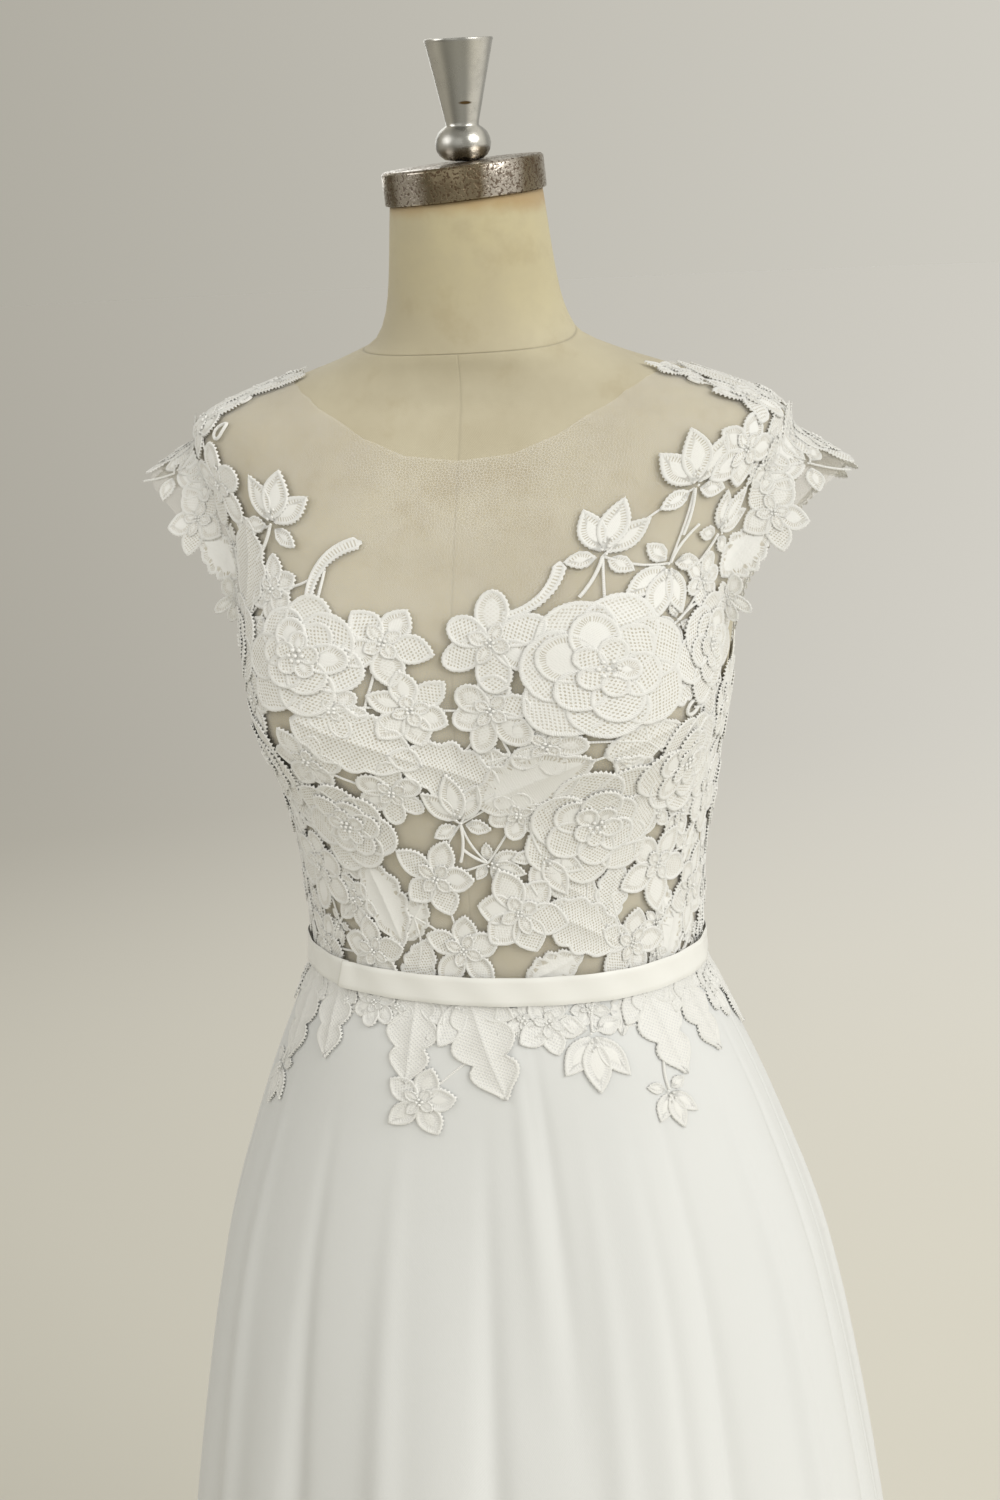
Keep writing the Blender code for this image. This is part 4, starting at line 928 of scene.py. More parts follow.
def cord(draft, path, radius, level):
    """Half-round cord along a path of points on the cloth."""
    path = np.asarray(path, float)
    angles = np.linspace(0, math.pi, 6)
    count, cols = len(path), len(angles)
    points = path[:, None, :] + path_sides(path)[:, None, :] * np.cos(angles)[None, :, None] * radius
    height = level + np.tile(np.sin(angles), count) * radius * 1.5
    edge = np.stack([np.repeat(path_run(path), cols), np.full(count * cols, 0.0005)], -1)
    flat = points.reshape(-1, 2)
    draft.add(flat, height, grid_faces(count, cols), flat, edge, LADDER, 0.2)


def knot(draft, spot, radius, level):
    """Small round knot of thread."""
    rings = ((1.0, 0.0), (0.8, 0.6), (0.45, 0.9))
    count = 6
    turns = np.arange(count) * 2 * math.pi / count
    around = np.stack([np.cos(turns), np.sin(turns)], -1)
    flat = np.concatenate([around * wide for wide, _ in rings] + [[(0.0, 0.0)]]) * radius + spot
    height = level + radius * 1.2 * np.append(np.repeat([tall for _, tall in rings], count), 1.0)
    last = (len(rings) - 1) * count
    faces = ring_faces(len(rings), count)
    faces += [(last + k, last + (k + 1) % count, last + count) for k in range(count)]
    draft.add(flat, height, faces, flat, np.full((len(flat), 2), 0.0005), LADDER, 0.1)


def band(draft, path, half, level):
    """Flat tape with a cord along both edges and a round end."""
    path = np.asarray(path, float)
    run = path_run(path)
    end = np.sqrt(np.clip(1 - np.clip((run - run[-1] + half) / half, 0, 1) ** 2, 0.02, 1))
    wide = half * (0.65 + 0.35 * run / run[-1]) * end
    cut = wide[:, None] - CORD_STEPS * np.minimum(1.0, wide / 0.0024)[:, None]
    x = np.concatenate([-cut, np.zeros((len(cut), 1)), cut[:, ::-1]], 1)
    count, cols = x.shape
    points = path[:, None, :] + path_sides(path)[:, None, :] * x[:, :, None]
    off = np.minimum(wide[:, None] - np.abs(x), (run[-1] - run)[:, None] + 0.0002)
    height = level + cord_section(off, draft.cord_height)
    along = np.repeat(run, cols)
    grain = np.stack([x.ravel(), along], -1)
    edge = np.stack([along, off.ravel()], -1)
    draft.add(points.reshape(-1, 2), height, grid_faces(count, cols), grain, edge, LADDER, 0.2)


def edging(draft, path, level, side):
    """Narrow scalloped edge: two cords with a row of small loops outside them."""
    path = np.asarray(path, float)
    run = path_run(path)
    dense = np.linspace(0, run[-1], round(run[-1] / 0.0009))
    path = np.stack([np.interp(dense, run, path[:, k]) for k in range(2)], -1)
    across = path_sides(path) * side
    loops = 0.0028 * np.abs(np.sin(math.pi * dense / 0.0062))[:, None] ** 0.7
    cord(draft, path, 0.0007, level)
    cord(draft, path + across * 0.0011, 0.0006, level)
    cord(draft, path + across * loops, 0.0007, level)


def ring_of_petals(draft, spot, count, length, width, heading, shape, level, styles):
    chance = draft.chance
    for k in range(count):
        turn = heading + 2 * math.pi * k / count + chance.uniform(-0.10, 0.10)
        long = length * (1 + chance.uniform(-0.12, 0.12))
        style = styles[int(chance.integers(len(styles)))]
        high = level + 0.00028 * (k % 2) + 0.00012 * (k % 3)
        wide = width * (1 + chance.uniform(-0.10, 0.10))
        petal(draft, ahead(spot, turn, -length * 0.06), turn, long, wide, shape, high, style)


def rose(draft, spot, size, heading, level):
    """Three rings of round petals with knots in the middle."""
    rings = (
        (7, 0.52, 0.43, 0.0, 0.0, (NET, NET, 0.4)),
        (6, 0.36, 0.30, 0.5, 0.0009, (NET, NET, LADDER)),
        (5, 0.20, 0.17, 0.0, 0.0017, (LADDER, NET)),
    )
    for count, long, wide, turn, lift, styles in rings:
        sizes = (count, size * long, size * wide, heading + turn)
        ring_of_petals(draft, spot, *sizes, "round", level + lift, styles)
    for k in range(7):
        reach = 0.0 if k == 6 else size * 0.05
        knot(draft, ahead(spot, math.pi / 2 - math.pi * k / 3, reach), 0.0011, level + 0.0030)


def bloom(draft, spot, size, heading, level):
    """Five or six petals with a small ring of petals and four knots on them."""
    count = 5 + int(draft.chance.integers(2))
    shape = "pointed" if draft.chance.random() < 0.5 else "round"
    outer = (MIXED, NET, MIXED, LADDER)
    ring_of_petals(draft, spot, count, size * 0.50, size * 0.34, heading, shape, level, outer)
    inner = (LADDER, MIXED)
    ring_of_petals(draft, spot, 4, size * 0.23, size * 0.16, heading + 0.4, "pointed", level + 0.0009, inner)
    for k in range(4):
        knot(draft, ahead(spot, math.pi / 2 - math.pi * k / 2 - heading, 0.0015), 0.0009, level + 0.0018)


def lily(draft, spot, size, heading, level):
    """Slim petals on a bent stem, with a row of knots up the middle."""
    for k, (turn, long, wide) in enumerate(LILY_PETALS):
        base = ahead(spot, heading + turn, size * 0.05)
        high = level + 0.0003 * (k % 3)
        petal(draft, base, heading + turn, size * long, size * wide, "slim", high, LADDER)
    for k in range(5):
        reach = size * (0.02 + 0.045 * k)
        knot(draft, ahead(spot, heading, reach, 0.0012 * (-1) ** k), 0.0008, level + 0.0016)
    stem = [ahead(spot, heading + 0.25 * t, -size * 0.5 * t) for t in np.linspace(0, 1, 7)]
    cord(draft, stem, 0.0009, level - 0.0002)


def leaf(draft, spot, size, heading, level):
    style = NET if draft.chance.random() < 0.6 else LADDER
    petal(draft, ahead(spot, heading, -size / 2), heading, size, size * 0.54, "toothed", level, style)


def spray(draft, spot, size, heading, level):
    """Lobed leaf with a small pointed leaf on each side of its foot."""
    base = ahead(spot, heading, -size / 2)
    for turn, long in ((0.85, 0.55), (-0.80, 0.50)):
        petal(draft, base, heading + turn, size * long, size * 0.28, "pointed", level, NET)
    petal(draft, base, heading, size, size * 0.50, "lobed", level + 0.0005, NET)


def tendril(draft, spot, size, heading, level):
    """Bent tape."""
    bend = 0.9 if draft.chance.random() < 0.5 else -0.9
    path = [ahead(spot, heading, -size * 0.45)]
    for t in np.linspace(0, 1, 14):
        path.append(ahead(path[-1], heading + bend * (t - 0.3) * 1.6, size * 0.075))
    band(draft, path[1:], size * 0.085, level)


def loop(draft, spot, size, heading, level):
    turns = np.linspace(0, 2 * math.pi, 15)
    path = [ahead(spot, heading, size * 0.34 * math.cos(a), size * 0.20 * math.sin(a)) for a in turns]
    cord(draft, path, 0.0011, level)


MOTIFS = {
    "rose": rose, "bloom": bloom, "lily": lily, "leaf": leaf, "spray": spray,
    "tendril": tendril, "loop": loop,
}


def motif(draft, kind, spot, size, heading, level):
    """One motif of the lace, and the places that it covers."""
    MOTIFS[kind](draft, spot, size, heading, level)
    for k in range(8):
        for reach in (0.15, 0.34) if kind != "leaf" else (0.12,):
            draft.spots.append(ahead(spot, math.pi * k / 4, size * reach))
    if kind == "leaf":
        draft.spots += [ahead(spot, heading, size * t) for t in np.linspace(-0.45, 0.45, 7)]


def at_side_seam(x, y):
    """Places within 6 mm of a side seam, between the belt and the armhole."""
    seam = np.abs(np.abs(x) - math.pi / 2 * TURN_TO_CLOTH) < 0.006
    return seam & (y > 0.006) & (y < ARMHOLE["along"] - ARMHOLE["half"] - 0.006)


def fill_open_places(draft, places, outline, need, extra):
    """Small motifs one by one, each in the place that lies furthest from the others."""
    x, y = grid_inside(outline, 0.006, 0.006, extra)
    for k in range(90):
        spots = np.array(draft.spots)
        open_by = np.hypot(x[:, None] - spots[None, :, 0], y[:, None] - spots[None, :, 1]).min(1)
        rank = open_by - need(x, y)
        best = int(np.argmax(rank))
        if rank[best] <= 0:
            break
        size = float(np.clip(open_by[best] * 2.6, 0.018, 0.040))
        kind = FILL_KINDS[k % len(FILL_KINDS)]
        if kind == "loop":
            size *= 0.6
        spot = (float(x[best]), float(y[best]))
        places.append((*spot, size))
        motif(draft, kind, spot, size, draft.chance.uniform(0, 2 * math.pi), draft.level - 0.0004)
        draft.spots.append(spot)


def join_with_threads(draft, places, need):
    """Bowed threads between motifs that are close to one another."""
    for i, (ax, ay, first) in enumerate(places):
        for bx, by, second in places[:i]:
            apart = math.dist((ax, ay), (bx, by))
            middle = (np.array([(ax + bx) / 2]), np.array([(ay + by) / 2]))
            if need and float(np.max(need(*middle))) >= OPEN_NET:
                continue
            both = first + second
            if 0.34 * both < apart < 0.5 * both + 0.003 and draft.chance.random() < 0.5:
                bow = (draft.chance.random() - 0.5) * 0.006
                heading = math.atan2(bx - ax, by - ay)
                shares = np.linspace(0, 1, 8)
                path = [ahead((ax, ay), heading, apart * t, bow * math.sin(math.pi * t)) for t in shares]
                cord(draft, path, 0.0007, draft.level - 0.0006)


def draw_lace(table, seed, outline=None, need=None, side=1.0, by_turn=True):
    """Lace of a table of motifs, with small motifs and threads in what is left open."""
    draft = LaceDraft(seed)
    places = []
    for kind, place, along, size, heading in table:
        across = math.radians(place) * TURN_TO_CLOTH if by_turn else place * 0.001
        spot = (across * side, along * 0.001)
        places.append((*spot, size * 0.001))
        level = draft.level + 0.0009 * draft.chance.random()
        motif(draft, kind, spot, size * 0.001, math.radians(heading) * side, level)
    if outline:
        fill_open_places(draft, places, outline, need, at_side_seam if by_turn else None)
    join_with_threads(draft, places, need)
    return draft


# How open the net may stay at a place before a small motif goes there.
def front_need(x, y):
    turn = np.abs(np.degrees(x / TURN_TO_CLOTH))
    rim = np.interp(turn, *zip(*FRONT_LACE_RIM))
    need = np.interp(turn, (0, 25, 45, 60, 80, 87), (0.0125, 0.0115, 0.0085, 0.0075, 0.0070, 0.0035))
    return np.where(y > rim - 0.006, OPEN_NET, need)


def back_need(x, y):
    turn = np.abs(np.degrees(x / TURN_TO_CLOTH))
    across = (turn - ARMHOLE["turn"]) / (ARMHOLE["back"] + 9)
    from_arm = np.hypot(across, (y - ARMHOLE["along"]) / (ARMHOLE["half"] + 0.016))
    open_net = (y > np.interp(turn, *zip(*BACK_LACE_RIM))) | ((from_arm < 1) & (y > 0.17))
    open_net |= np.abs(x) > math.pi * TURN_TO_CLOTH - PLACKET - 0.006
    return np.where(open_net, OPEN_NET, np.interp(turn, (93, 100), (0.0035, 0.0085)))


def sleeve_need(x, y):
    return np.where(x > 0.050, OPEN_NET, 0.0085)


# Turned hard pieces
def turned(name, rows, count, look, place=(0.0, 0.0, 0.0), tilt=(0.0, 0.0), bevel=0.0):
    """Round hard piece: a disc extruded and resized from one height to the next."""
    bpy.ops.object.select_all(action="DESELECT")
    radius, height = rows[0]
    start = (0, 0, height)
    bpy.ops.mesh.primitive_circle_add(vertices=count, radius=radius, fill_type="NGON", location=start)
    thing = bpy.context.object
    thing.name = name
    bpy.ops.object.transform_apply(location=True, rotation=True, scale=True)
    bpy.ops.object.mode_set(mode="EDIT")
    bpy.ops.mesh.select_mode(type="FACE")
    bpy.ops.mesh.select_all(action="SELECT")
    for next_radius, next_height in rows[1:]:
        bpy.ops.mesh.extrude_region_move(TRANSFORM_OT_translate={"value": (0, 0, next_height - height)})
        grow = next_radius / radius
        bpy.ops.transform.resize(value=(grow, grow, 1.0), center_override=(0, 0, next_height))
        radius, height = next_radius, next_height
    bpy.ops.mesh.select_all(action="SELECT")
    bpy.ops.mesh.normals_make_consistent(inside=False)
    bpy.ops.object.mode_set(mode="OBJECT")
    if bevel:
        soften = thing.modifiers.new("Bevel", "BEVEL")
        soften.width = bevel
        soften.segments = 2
        soften.limit_method = "ANGLE"
        soften.angle_limit = math.radians(28)
        bpy.ops.object.modifier_apply(modifier=soften.name)
    bpy.ops.object.shade_smooth_by_angle(angle=math.radians(40))
    thing.location = place
    thing.rotation_euler = (*tilt, 0.0)
    bpy.ops.object.transform_apply(location=True, rotation=True, scale=True)
    thing.data.materials.clear()
    thing.data.materials.append(look)
    return thing


def neck_top():
    """Middle of the neck's top, the direction that it faces, and its tilt."""
    top = BODY[-1]
    tilt = math.atan(top[7])
    axis = np.array((0.0, -math.sin(tilt), math.cos(tilt)))
    return np.array((0.0, top[3], WAIST_Z + top[1])), axis, tilt


# Ribbon
def on_belt(across, along, out):
    """Ribbon surface: straight up and down, and not bent by the waist seam."""
    middle = on_dress(across, np.full(len(across), 0.0002), out)
    wide = on_dress(across, np.clip(along, -0.0085, 0.0085), out)
    now = np.hypot(middle[:, 0], middle[:, 1])
    middle[:, :2] *= (np.maximum(np.hypot(wide[:, 0], wide[:, 1]), now) / now)[:, None]
    middle[:, 2] = WAIST_Z + along
    return middle


def lapped_belt(across, along, out):
    """Front ribbon: its end is cut slanting and lies over the back ribbon."""
    near = np.clip(1 - (across - LAP_PLACE) / 0.014, 0, 1)
    near = near * near * (3 - 2 * near)
    return on_belt(across + 0.30 * along * near, along, out + 0.0017 * near)


# Settings
def metres(label, text, default):
    return bpy.props.FloatProperty(
        name=label, description=text, default=default, subtype="DISTANCE", unit="LENGTH", precision=4,
    )


def tint(label, text, default):
    return bpy.props.FloatVectorProperty(
        name=label, description=text, default=default, size=3, subtype="COLOR", min=0.0, max=1.0,
    )


class DressSizes(bpy.types.PropertyGroup):
    """Sizes that a maker would change."""

    net_level: metres("Net", "How far the net lies over the form", 0.0008)
    lace_level: metres("Lace", "How far the lace lies over the form", 0.0020)
    cord_height: metres("Cord", "How far the cord stands up round a petal", 0.0008)
    belt_height: metres("Ribbon", "Height of the ribbon belt", 0.017)
    belt_level: metres("Ribbon level", "How far the ribbon lies over the waist", 0.0050)


class DressColours(bpy.types.PropertyGroup):
    """Colours of the dress, the form and the stand."""

    linen: tint("Linen", "Cover of the dress form", (0.595, 0.545, 0.405))
    net: tint("Net", "Sheer net of the bodice", (0.86, 0.83, 0.78))
    lace: tint("Lace", "Lace cords and petals", (0.88, 0.88, 0.86))
    chiffon: tint("Chiffon", "Skirt", (0.745, 0.755, 0.75))
    satin: tint("Satin", "Ribbon belt and buttons", (0.86, 0.86, 0.835))
    plating: tint("Plating", "Cap of the neck", (0.22, 0.18, 0.12))
    alloy: tint("Aluminium", "Knob of the neck", (0.56, 0.555, 0.54))
    paint: tint("Paint", "Stand", (0.035, 0.035, 0.038))
    floor: tint("Floor", "Studio floor", (0.70, 0.68, 0.61))


def picked(name):
    """Colour that is set in the panel."""
    return tuple(getattr(bpy.context.scene.dress_colours, name))


class DRESS_OT_form(bpy.types.Operator):
    """Dress form with its linen cover, seams and neck"""

    bl_idname = "dress.form"
    bl_label = "Dress form"

    def execute(self, context):
        beside_seam = (0.0, 0.15, 0.32, 0.55, 0.9, 1.5)
        degrees = set(np.arange(-180, 180, 3.0).tolist())
        for middle in SEAM_TURNS:
            degrees |= {((middle + side * d + 180) % 360) - 180 for d in beside_seam for side in (-1, 1)}
        degrees = sorted(degrees)
        turns = np.radians(degrees)
        levels = set(np.round(np.arange(-FORM_DROP, 0.5101, 0.0065), 5).tolist()) | {0.510}
        by_neck = (0.0, 0.0003, 0.0007, 0.0012, 0.002)
        levels |= {round(NECK_SEAM + side * d, 5) for d in by_neck for side in (-1, 1)}
        levels = np.array(sorted(levels))
        count = len(turns)
        upright = np.zeros(count)
        for middle in SEAM_TURNS:
            away = (np.degrees(turns) - middle + 180) % 360 - 180
            upright = np.maximum(upright, 0.40 * np.exp(-((away / 0.28) ** 2)))
        # The neck seam runs round lower in front than behind.
        drop = 0.013 * np.cos(turns) - 0.003 * np.sin(turns)
        points = []
        seams = []
        for level in levels:
            neck = np.exp(-(((level - NECK_SEAM) / 0.0006) ** 2))
            seam = np.maximum(upright if level < NECK_SEAM - 0.0005 else 0.0 * upright, neck)
            round_edge = 0.004 * max(0.0, 1 - (level + FORM_DROP) / 0.008) ** 2
            near = max(0.0, 1 - abs(level - NECK_SEAM) / 0.040)
            slide = near**2 * (3 - 2 * near)
            row = raised(body_point, turns, level - drop * slide, -0.0006 - 0.0005 * seam - round_edge)
            row[:, 2] += row[:, 0] * math.tan(CAP_LEAN) * np.clip((level - 0.455) / 0.055, 0, 1) ** 2
            points.append(row)
            seams.append(seam)
        faces = ring_faces(len(levels), count)
        faces.append(tuple(range(count))[::-1])
        faces.append(tuple((len(levels) - 1) * count + k for k in range(count)))
        flat = np.stack([np.tile(turns * TURN_TO_CLOTH, len(levels)), np.repeat(levels, count)], -1)
        look = linen_finish(picked("linen"))
        values = {"seam": np.concatenate(seams)}
        piece = make_piece("linen_cover", np.concatenate(points), faces, look, {"cloth": flat}, values)
        settle(piece, "form_linen", "form_torso")
        return {"FINISHED"}


class DRESS_OT_metal(bpy.types.Operator):
    """Plated cap and aluminium knob of the neck, and the stand"""

    bl_idname = "dress.metal"
    bl_label = "Cap, knob and stand"

    def execute(self, context):
        neck, axis, tilt = neck_top()
        centre = float(neck[1])
        plating = plated_finish(picked("plating"), centre)
        base = tuple(neck + axis * 0.0004)
        piece = turned("neck_cap", CAP_STEPS, 96, plating, base, (tilt, -CAP_LEAN), 0.0003)
        settle(piece, "cap_plated_metal", "form_cap")
        base = neck + axis * 0.0191
        # Place of the dark brown spot painted as the shade of a small hole in the knob.
        hole_shade_spot = base + axis * 0.0295 + 0.0112 * np.array((math.sin(0.46), -math.cos(0.46), 0.0))
        alloy = alloy_finish(picked("alloy"), centre, hole_shade_spot.tolist())
        piece = turned("neck_knob", KNOB_STEPS, 72, alloy, tuple(base), (tilt, 0.016))
        settle(piece, "knob_aluminium", "form_knob")
        paint = paint_finish(picked("paint"))
        piece = turned("stand_tube", POLE_STEPS, 64, paint, (0.0, 0.0, BASE_HEIGHT + 0.0003), bevel=0.0004)
        settle(piece, "stand_painted_metal", "stand_pole")
        piece = turned("stand_foot", FOOT_STEPS, 120, paint, bevel=0.0008)
        settle(piece, "stand_painted_metal", "stand_base")
        return {"FINISHED"}


class DRESS_OT_bodice(bpy.types.Operator):
    """Sheer net of the bodice and cap sleeves, with the corded lace on it"""

    bl_idname = "dress.bodice"
    bl_label = "Bodice and sleeves"

    def execute(self, context):
        level = context.scene.dress_sizes.net_level
        net = net_finish(picked("net"))
        # The lace's holes are painted with the form's colour under the net, darkened as painted shade.
        lace = lace_finish("bodice_lace", picked("lace"), (0.56, 0.52, 0.43))
        outline = front_outline()
        draft = draw_lace(FRONT_LACE, 11, outline, front_need)
        flower = draft.lay("lace_front", "bodice_lace_front", on_dress, lace)
        body = (on_body, level, net, "stretched", "linen_cover")
        net_panel("net_front", "bodice_front", outline, *body, flower)
        outline = back_outline()
        for name, side, ring in (("right", 1.0, outline), ("left", -1.0, mirrored(outline))):
            draft = draw_lace(BACK_LACE, 23, ring, back_need, side)
            centre = side * (math.pi * TURN_TO_CLOTH - PLACKET / 2)
            tape = [(centre, y) for y in np.linspace(0.0, BACK_NECK[-1][1], 40)]
            band(draft, tape, PLACKET / 2, draft.level)
            edging(draft, [(side * x, y) for x, y in armhole_edge(26, 46)], level + 0.0004, side)
            flower = draft.lay("lace_back_" + name, "bodice_lace_back_" + name, on_dress, lace)
            net_panel("net_back_" + name, "bodice_back_" + name, ring, *body, flower)
        outline = sleeve_outline()
        for name, surface in (("right", on_right_sleeve), ("left", on_left_sleeve)):
            draft = draw_lace(SLEEVE_LACE, 31, outline, sleeve_need, by_turn=False)
            rim = [(x, float(sleeve_length(x)) - 0.0008) for x in np.linspace(0.062, 0.195, 60)]
            edging(draft, rim, level + 0.0004, -1.0)
            names = ("lace_sleeve_" + name, "sleeve_lace_" + name)
            flower = draft.lay(*names, surface, lace, name == "right", 0.55)
            sleeve = (surface, level, net, "hung", "net_front")
            net_panel("net_sleeve_" + name, "sleeve_" + name, outline, *sleeve, flower, 0.0045)
        return {"FINISHED"}


class DRESS_OT_skirt(bpy.types.Operator):
    """Chiffon skirt panels with the lace that falls over them"""

    bl_idname = "dress.skirt"
    bl_label = "Skirt"

    def execute(self, context):
        chiffon = chiffon_finish(picked("chiffon"))
        lace = lace_finish("skirt_lace", picked("lace"), (0.78, 0.78, 0.78))
        gap = 0.00004 / TURN_TO_CLOTH
        quarter = math.pi / 2
        turn_up = HEM_DROP - 0.0075
        depths = np.concatenate([
            np.linspace(WAIST_SEAM, 0.02, 5), np.linspace(0.026, 0.20, 30), np.linspace(0.207, turn_up, 88),
            [turn_up + 0.0006, HEM_DROP],
        ])
        beside = np.array((0.0, 0.0003, 0.0007, 0.0012, 0.0020)) / TURN_TO_CLOTH
        parts = (
            ("front", -quarter + gap, quarter - gap, 260, SKIRT_LACE, 1.0),
            ("back_right", quarter + gap, math.pi - gap, 130, BACK_SKIRT_LACE, 1.0),
            ("back_left", -math.pi + gap, -quarter - gap, 130, BACK_SKIRT_LACE, -1.0),
        )
        for name, start, end, count, table, side in parts:
            inner = np.linspace(start + beside[-1] * 2, end - beside[-1] * 2, count)
            turns = np.concatenate([start + beside, inner, end - beside[::-1]])
            from_seam = np.minimum(turns - start, end - turns) * TURN_TO_CLOTH
            dip = 0.0008 * np.exp(-((from_seam / 0.0008) ** 2))
            out = 0.0016 - dip[:, None] + np.where(depths > turn_up, 0.0004, 0.0)[None, :]
            piece = grid_piece("chiffon_" + name, on_skirt, turns, -depths, out.ravel(), chiffon)
            settle(piece, "chiffon_fabric", "skirt_" + name)
            draft = draw_lace(table, 41, side=side)
            apart = math.radians(9)
            for k in range(int((end - start) / apart)):
                spot = ((start + (k + 0.5) * apart) * TURN_TO_CLOTH, -0.010 - 0.004 * (k % 3))
                heading = math.pi + 0.4 * math.sin(k * 2.3)
                draft.chance = np.random.default_rng(60 + k)
                motif(draft, "bloom" if k % 2 else "leaf", spot, 0.026, heading, draft.level - 0.0003)
            flower = draft.lay("drop_lace_" + name, "skirt_lace_" + name, on_dress, lace)
            across = turns * TURN_TO_CLOTH
            flat = np.zeros(len(turns))
            rings = (on_skirt(across, flat - drop, flat) for drop in (HEM_DROP, 0.001))
            wide, narrow = (float(path_run(ring)[-1]) for ring in rings)
        return {"FINISHED"}


class DRESS_OT_belt(bpy.types.Operator):
    """Satin ribbon belt, its front end lapped over the back ribbon"""

    bl_idname = "dress.belt"
    bl_label = "Ribbon belt"

    def execute(self, context):
        sizes = context.scene.dress_sizes
        satin = satin_finish("satin_ribbon", picked("satin"))
        half = sizes.belt_height / 2
        shares = np.array((-1.0, -0.97, -0.90, -0.6, -0.2, 0.2, 0.6, 0.90, 0.97, 1.0))
        lengths = (
            ("front", LAP_TURN, 89.98, 150, lapped_belt),
            ("back", 90.02, 363 + LAP_TURN, 220, on_belt),
        )
        for name, first, last, count, surface in lengths:
            turns = np.radians(np.linspace(first, last, count + 1))
            at, share = np.meshgrid(turns, shares, indexing="ij")
            wave = 0.0004 * np.sin(at * 9.0 + 1.3) + 0.0003 * np.sin(at * 23.0 + share * 1.5)
            edge = np.where(np.abs(share) > 0.93, -0.0005, 0.0) + 0.0002 * (1 - share**2)
            out = (sizes.belt_level + wave + edge).ravel()
            piece = grid_piece("ribbon_" + name, surface, turns, shares * half, out, satin)
            settle(piece, "satin_ribbon", "belt_" + name)
            waist = np.zeros(len(turns))
            long = float(path_run(on_dress(turns * TURN_TO_CLOTH, waist, waist + 0.0056))[-1])
        return {"FINISHED"}


class DRESS_OT_buttons(bpy.types.Operator):
    """Satin-covered buttons of the back opening"""

    bl_idname = "dress.buttons"
    bl_label = "Buttons"

    def execute(self, context):
        satin = satin_finish("covered_button", picked("satin"))
        master = turned("covered_button_%d" % BUTTON_COUNT, BUTTON_STEPS, 32, satin)
        flow = Vector((0.06, 1.0, 0.0)).normalized()
        turn = flow.to_track_quat("Z", "Y").to_matrix().to_4x4()
        for k in range(1, BUTTON_COUNT + 1):
            low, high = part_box("button_%d" % k)
            centre = (Vector(low) + Vector(high)) / 2
            piece = master
            if k < BUTTON_COUNT:
                piece = master.copy()
                piece.data = master.data.copy()
                piece.name = "covered_button_%d" % k
                bpy.context.collection.objects.link(piece)
            piece.data.transform(Matrix.Translation(centre - flow * 0.0021) @ turn)
            settle(piece, "satin_ribbon", "button_%d" % k)
        return {"FINISHED"}


def place_thing(name, data, place=(0.0, 0.0, 0.0), flow=None):
    """Lamp or camera in its place, its light or view along a direction."""
    thing = bpy.data.objects.new(name, data)
    thing.location = place
    if flow:
        thing.rotation_euler = flow.to_track_quat("-Z", "Y").to_euler()
    bpy.context.collection.objects.link(thing)
    return thing


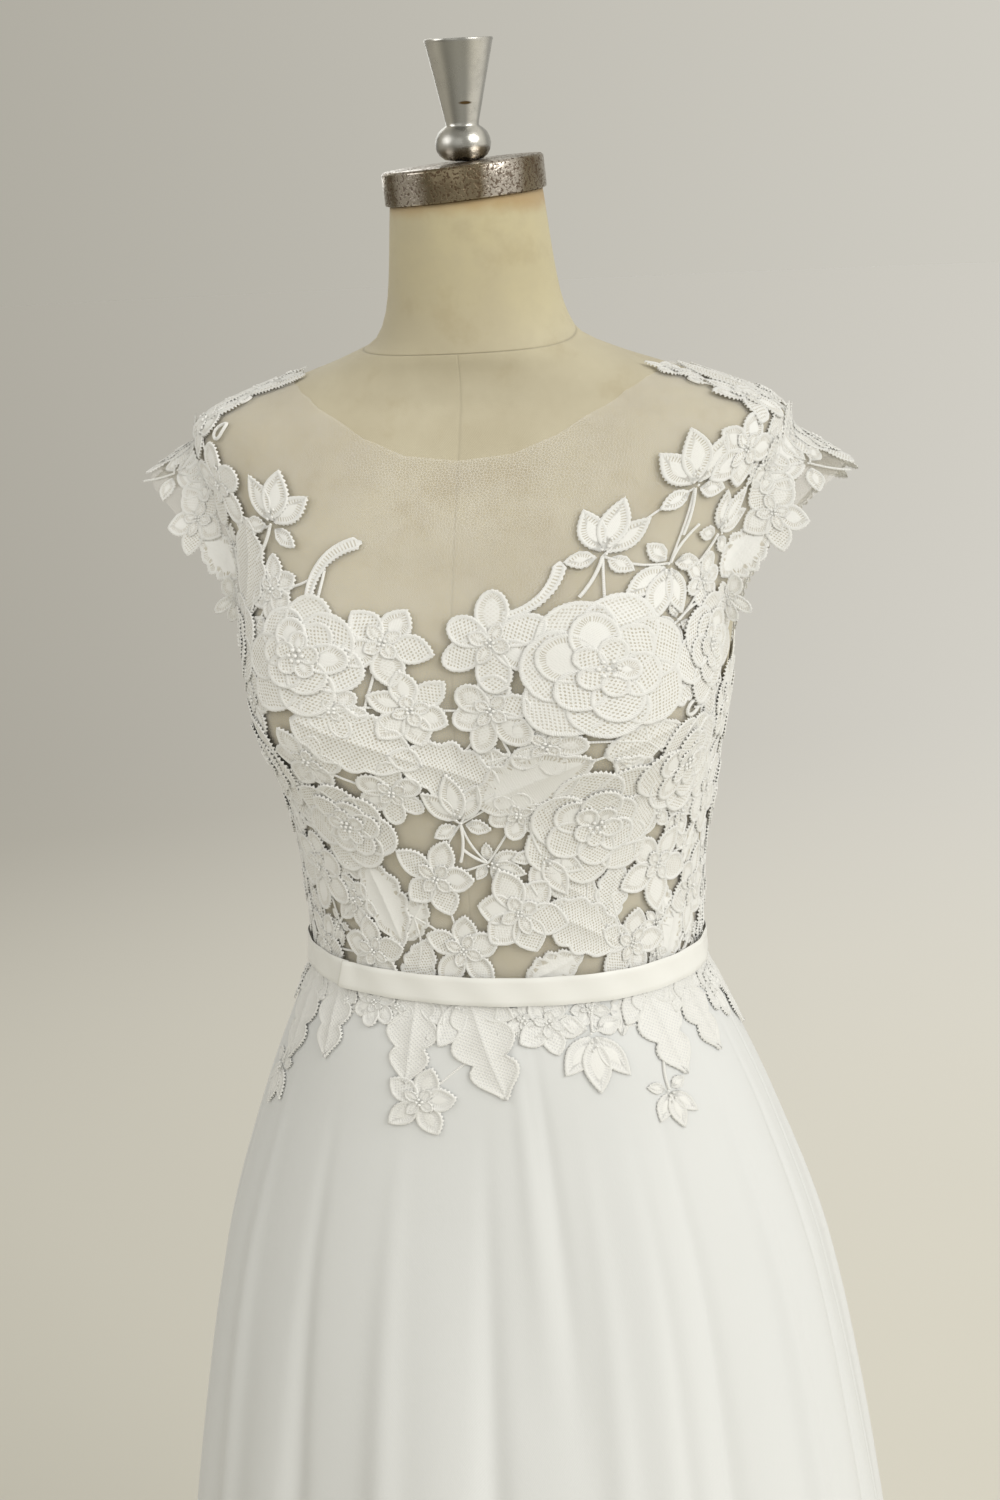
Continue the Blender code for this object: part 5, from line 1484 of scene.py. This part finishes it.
class DRESS_OT_stage(bpy.types.Operator):
    """Pale floor, soft studio light and the camera"""

    bl_idname = "dress.stage"
    bl_label = "Studio"

    def execute(self, context):
        bpy.ops.object.select_all(action="DESELECT")
        under = (0, 0, -0.0005)
        bpy.ops.mesh.primitive_circle_add(vertices=96, radius=40.0, fill_type="NGON", location=under)
        floor = bpy.context.object
        floor.name = "studio_floor"
        floor.data.materials.append(floor_finish(picked("floor")))
        sun = bpy.data.lights.new("window", "SUN")
        sun.energy = 1.45
        sun.angle = math.radians(38)
        sun.color = (1.0, 0.995, 0.97)
        place_thing("window", sun, flow=Vector(SUN_FLOW))
        for name, place, aim, size, power, colour in LAMPS:
            lamp = bpy.data.lights.new(name, "AREA")
            lamp.energy = power
            lamp.size = size
            lamp.color = colour
            place_thing(name, lamp, place, Vector(aim) - Vector(place))
        world = bpy.data.worlds.new("studio")
        context.scene.world = world
        world.use_nodes = True
        sky = world.node_tree.nodes["Background"]
        sky.inputs["Strength"].default_value = BACKDROP_STRENGTH
        nodes, links = world.node_tree.nodes, world.node_tree.links
        place = nodes.new("ShaderNodeTexCoord")
        parts = nodes.new("ShaderNodeSeparateXYZ")
        ramp = nodes.new("ShaderNodeValToRGB")
        spread = nodes.new("ShaderNodeMapRange")
        spread.interpolation_type = "SMOOTHSTEP"
        spread.inputs["From Min"].default_value = BACKDROP_SPREAD[0]
        spread.inputs["From Max"].default_value = BACKDROP_SPREAD[1]
        for end, shade in zip(ramp.color_ramp.elements, BACKDROP):
            end.color = (*shade, 1.0)
        links.new(place.outputs["Generated"], parts.inputs[0])
        links.new(parts.outputs[0], spread.inputs["Value"])
        links.new(spread.outputs[0], ramp.inputs[0])
        links.new(ramp.outputs[0], sky.inputs["Color"])
        context.scene.view_settings.view_transform = "Standard"
        turn, pitch, roll = (math.radians(angle) for angle in CAMERA_ANGLES)
        ahead_flat = Vector((-math.sin(turn), math.cos(turn), 0.0))
        flow = ahead_flat * math.cos(pitch) + Vector((0.0, 0.0, -math.sin(pitch)))
        level = Vector((math.cos(turn), math.sin(turn), 0.0))
        upright = level.cross(flow)
        right = level * math.cos(roll) - upright * math.sin(roll)
        up = upright * math.cos(roll) + level * math.sin(roll)
        view = bpy.data.cameras.new("camera")
        view.sensor_width = CAMERA_SENSOR
        view.lens = CAMERA_FOCAL * CAMERA_SENSOR
        view.shift_x, view.shift_y = CAMERA_SHIFT
        away = CAMERA_DISTANCE
        place = Vector((away * math.sin(turn), -away * math.cos(turn), WAIST_Z + CAMERA_HEIGHT))
        rows = (right, up, -flow)
        thing = place_thing("camera", view)
        facing = Matrix([[row[k] for row in rows] for k in range(3)]).to_4x4()
        thing.matrix_world = Matrix.Translation(place) @ facing
        context.scene.camera = thing
        return {"FINISHED"}


OPERATORS = (
    DRESS_OT_stage, DRESS_OT_form, DRESS_OT_metal, DRESS_OT_bodice,
    DRESS_OT_skirt, DRESS_OT_belt, DRESS_OT_buttons,
)


class DRESS_PT_panel(bpy.types.Panel):
    """Buttons that build the dress, piece by piece"""

    bl_idname = "DRESS_PT_panel"
    bl_label = "Lace Wedding Dress"
    bl_space_type = "VIEW_3D"
    bl_region_type = "UI"
    bl_category = "Dress"

    def draw(self, context):
        for group in (context.scene.dress_sizes, context.scene.dress_colours):
            for key in group.__annotations__:
                self.layout.prop(group, key)
        for made in OPERATORS:
            self.layout.operator(made.bl_idname)


CLASSES = (DressSizes, DressColours) + OPERATORS + (DRESS_PT_panel,)


def register():
    for made in CLASSES:
        bpy.utils.register_class(made)
    bpy.types.Scene.dress_sizes = bpy.props.PointerProperty(type=DressSizes)
    bpy.types.Scene.dress_colours = bpy.props.PointerProperty(type=DressColours)


def unregister():
    del bpy.types.Scene.dress_colours
    del bpy.types.Scene.dress_sizes
    for made in reversed(CLASSES):
        bpy.utils.unregister_class(made)


def main():
    register()
    for made in OPERATORS:
        group, name = made.bl_idname.split(".")
        getattr(getattr(bpy.ops, group), name)()
    bpy.context.view_layer.update()


if __name__ == "__main__":
    main()
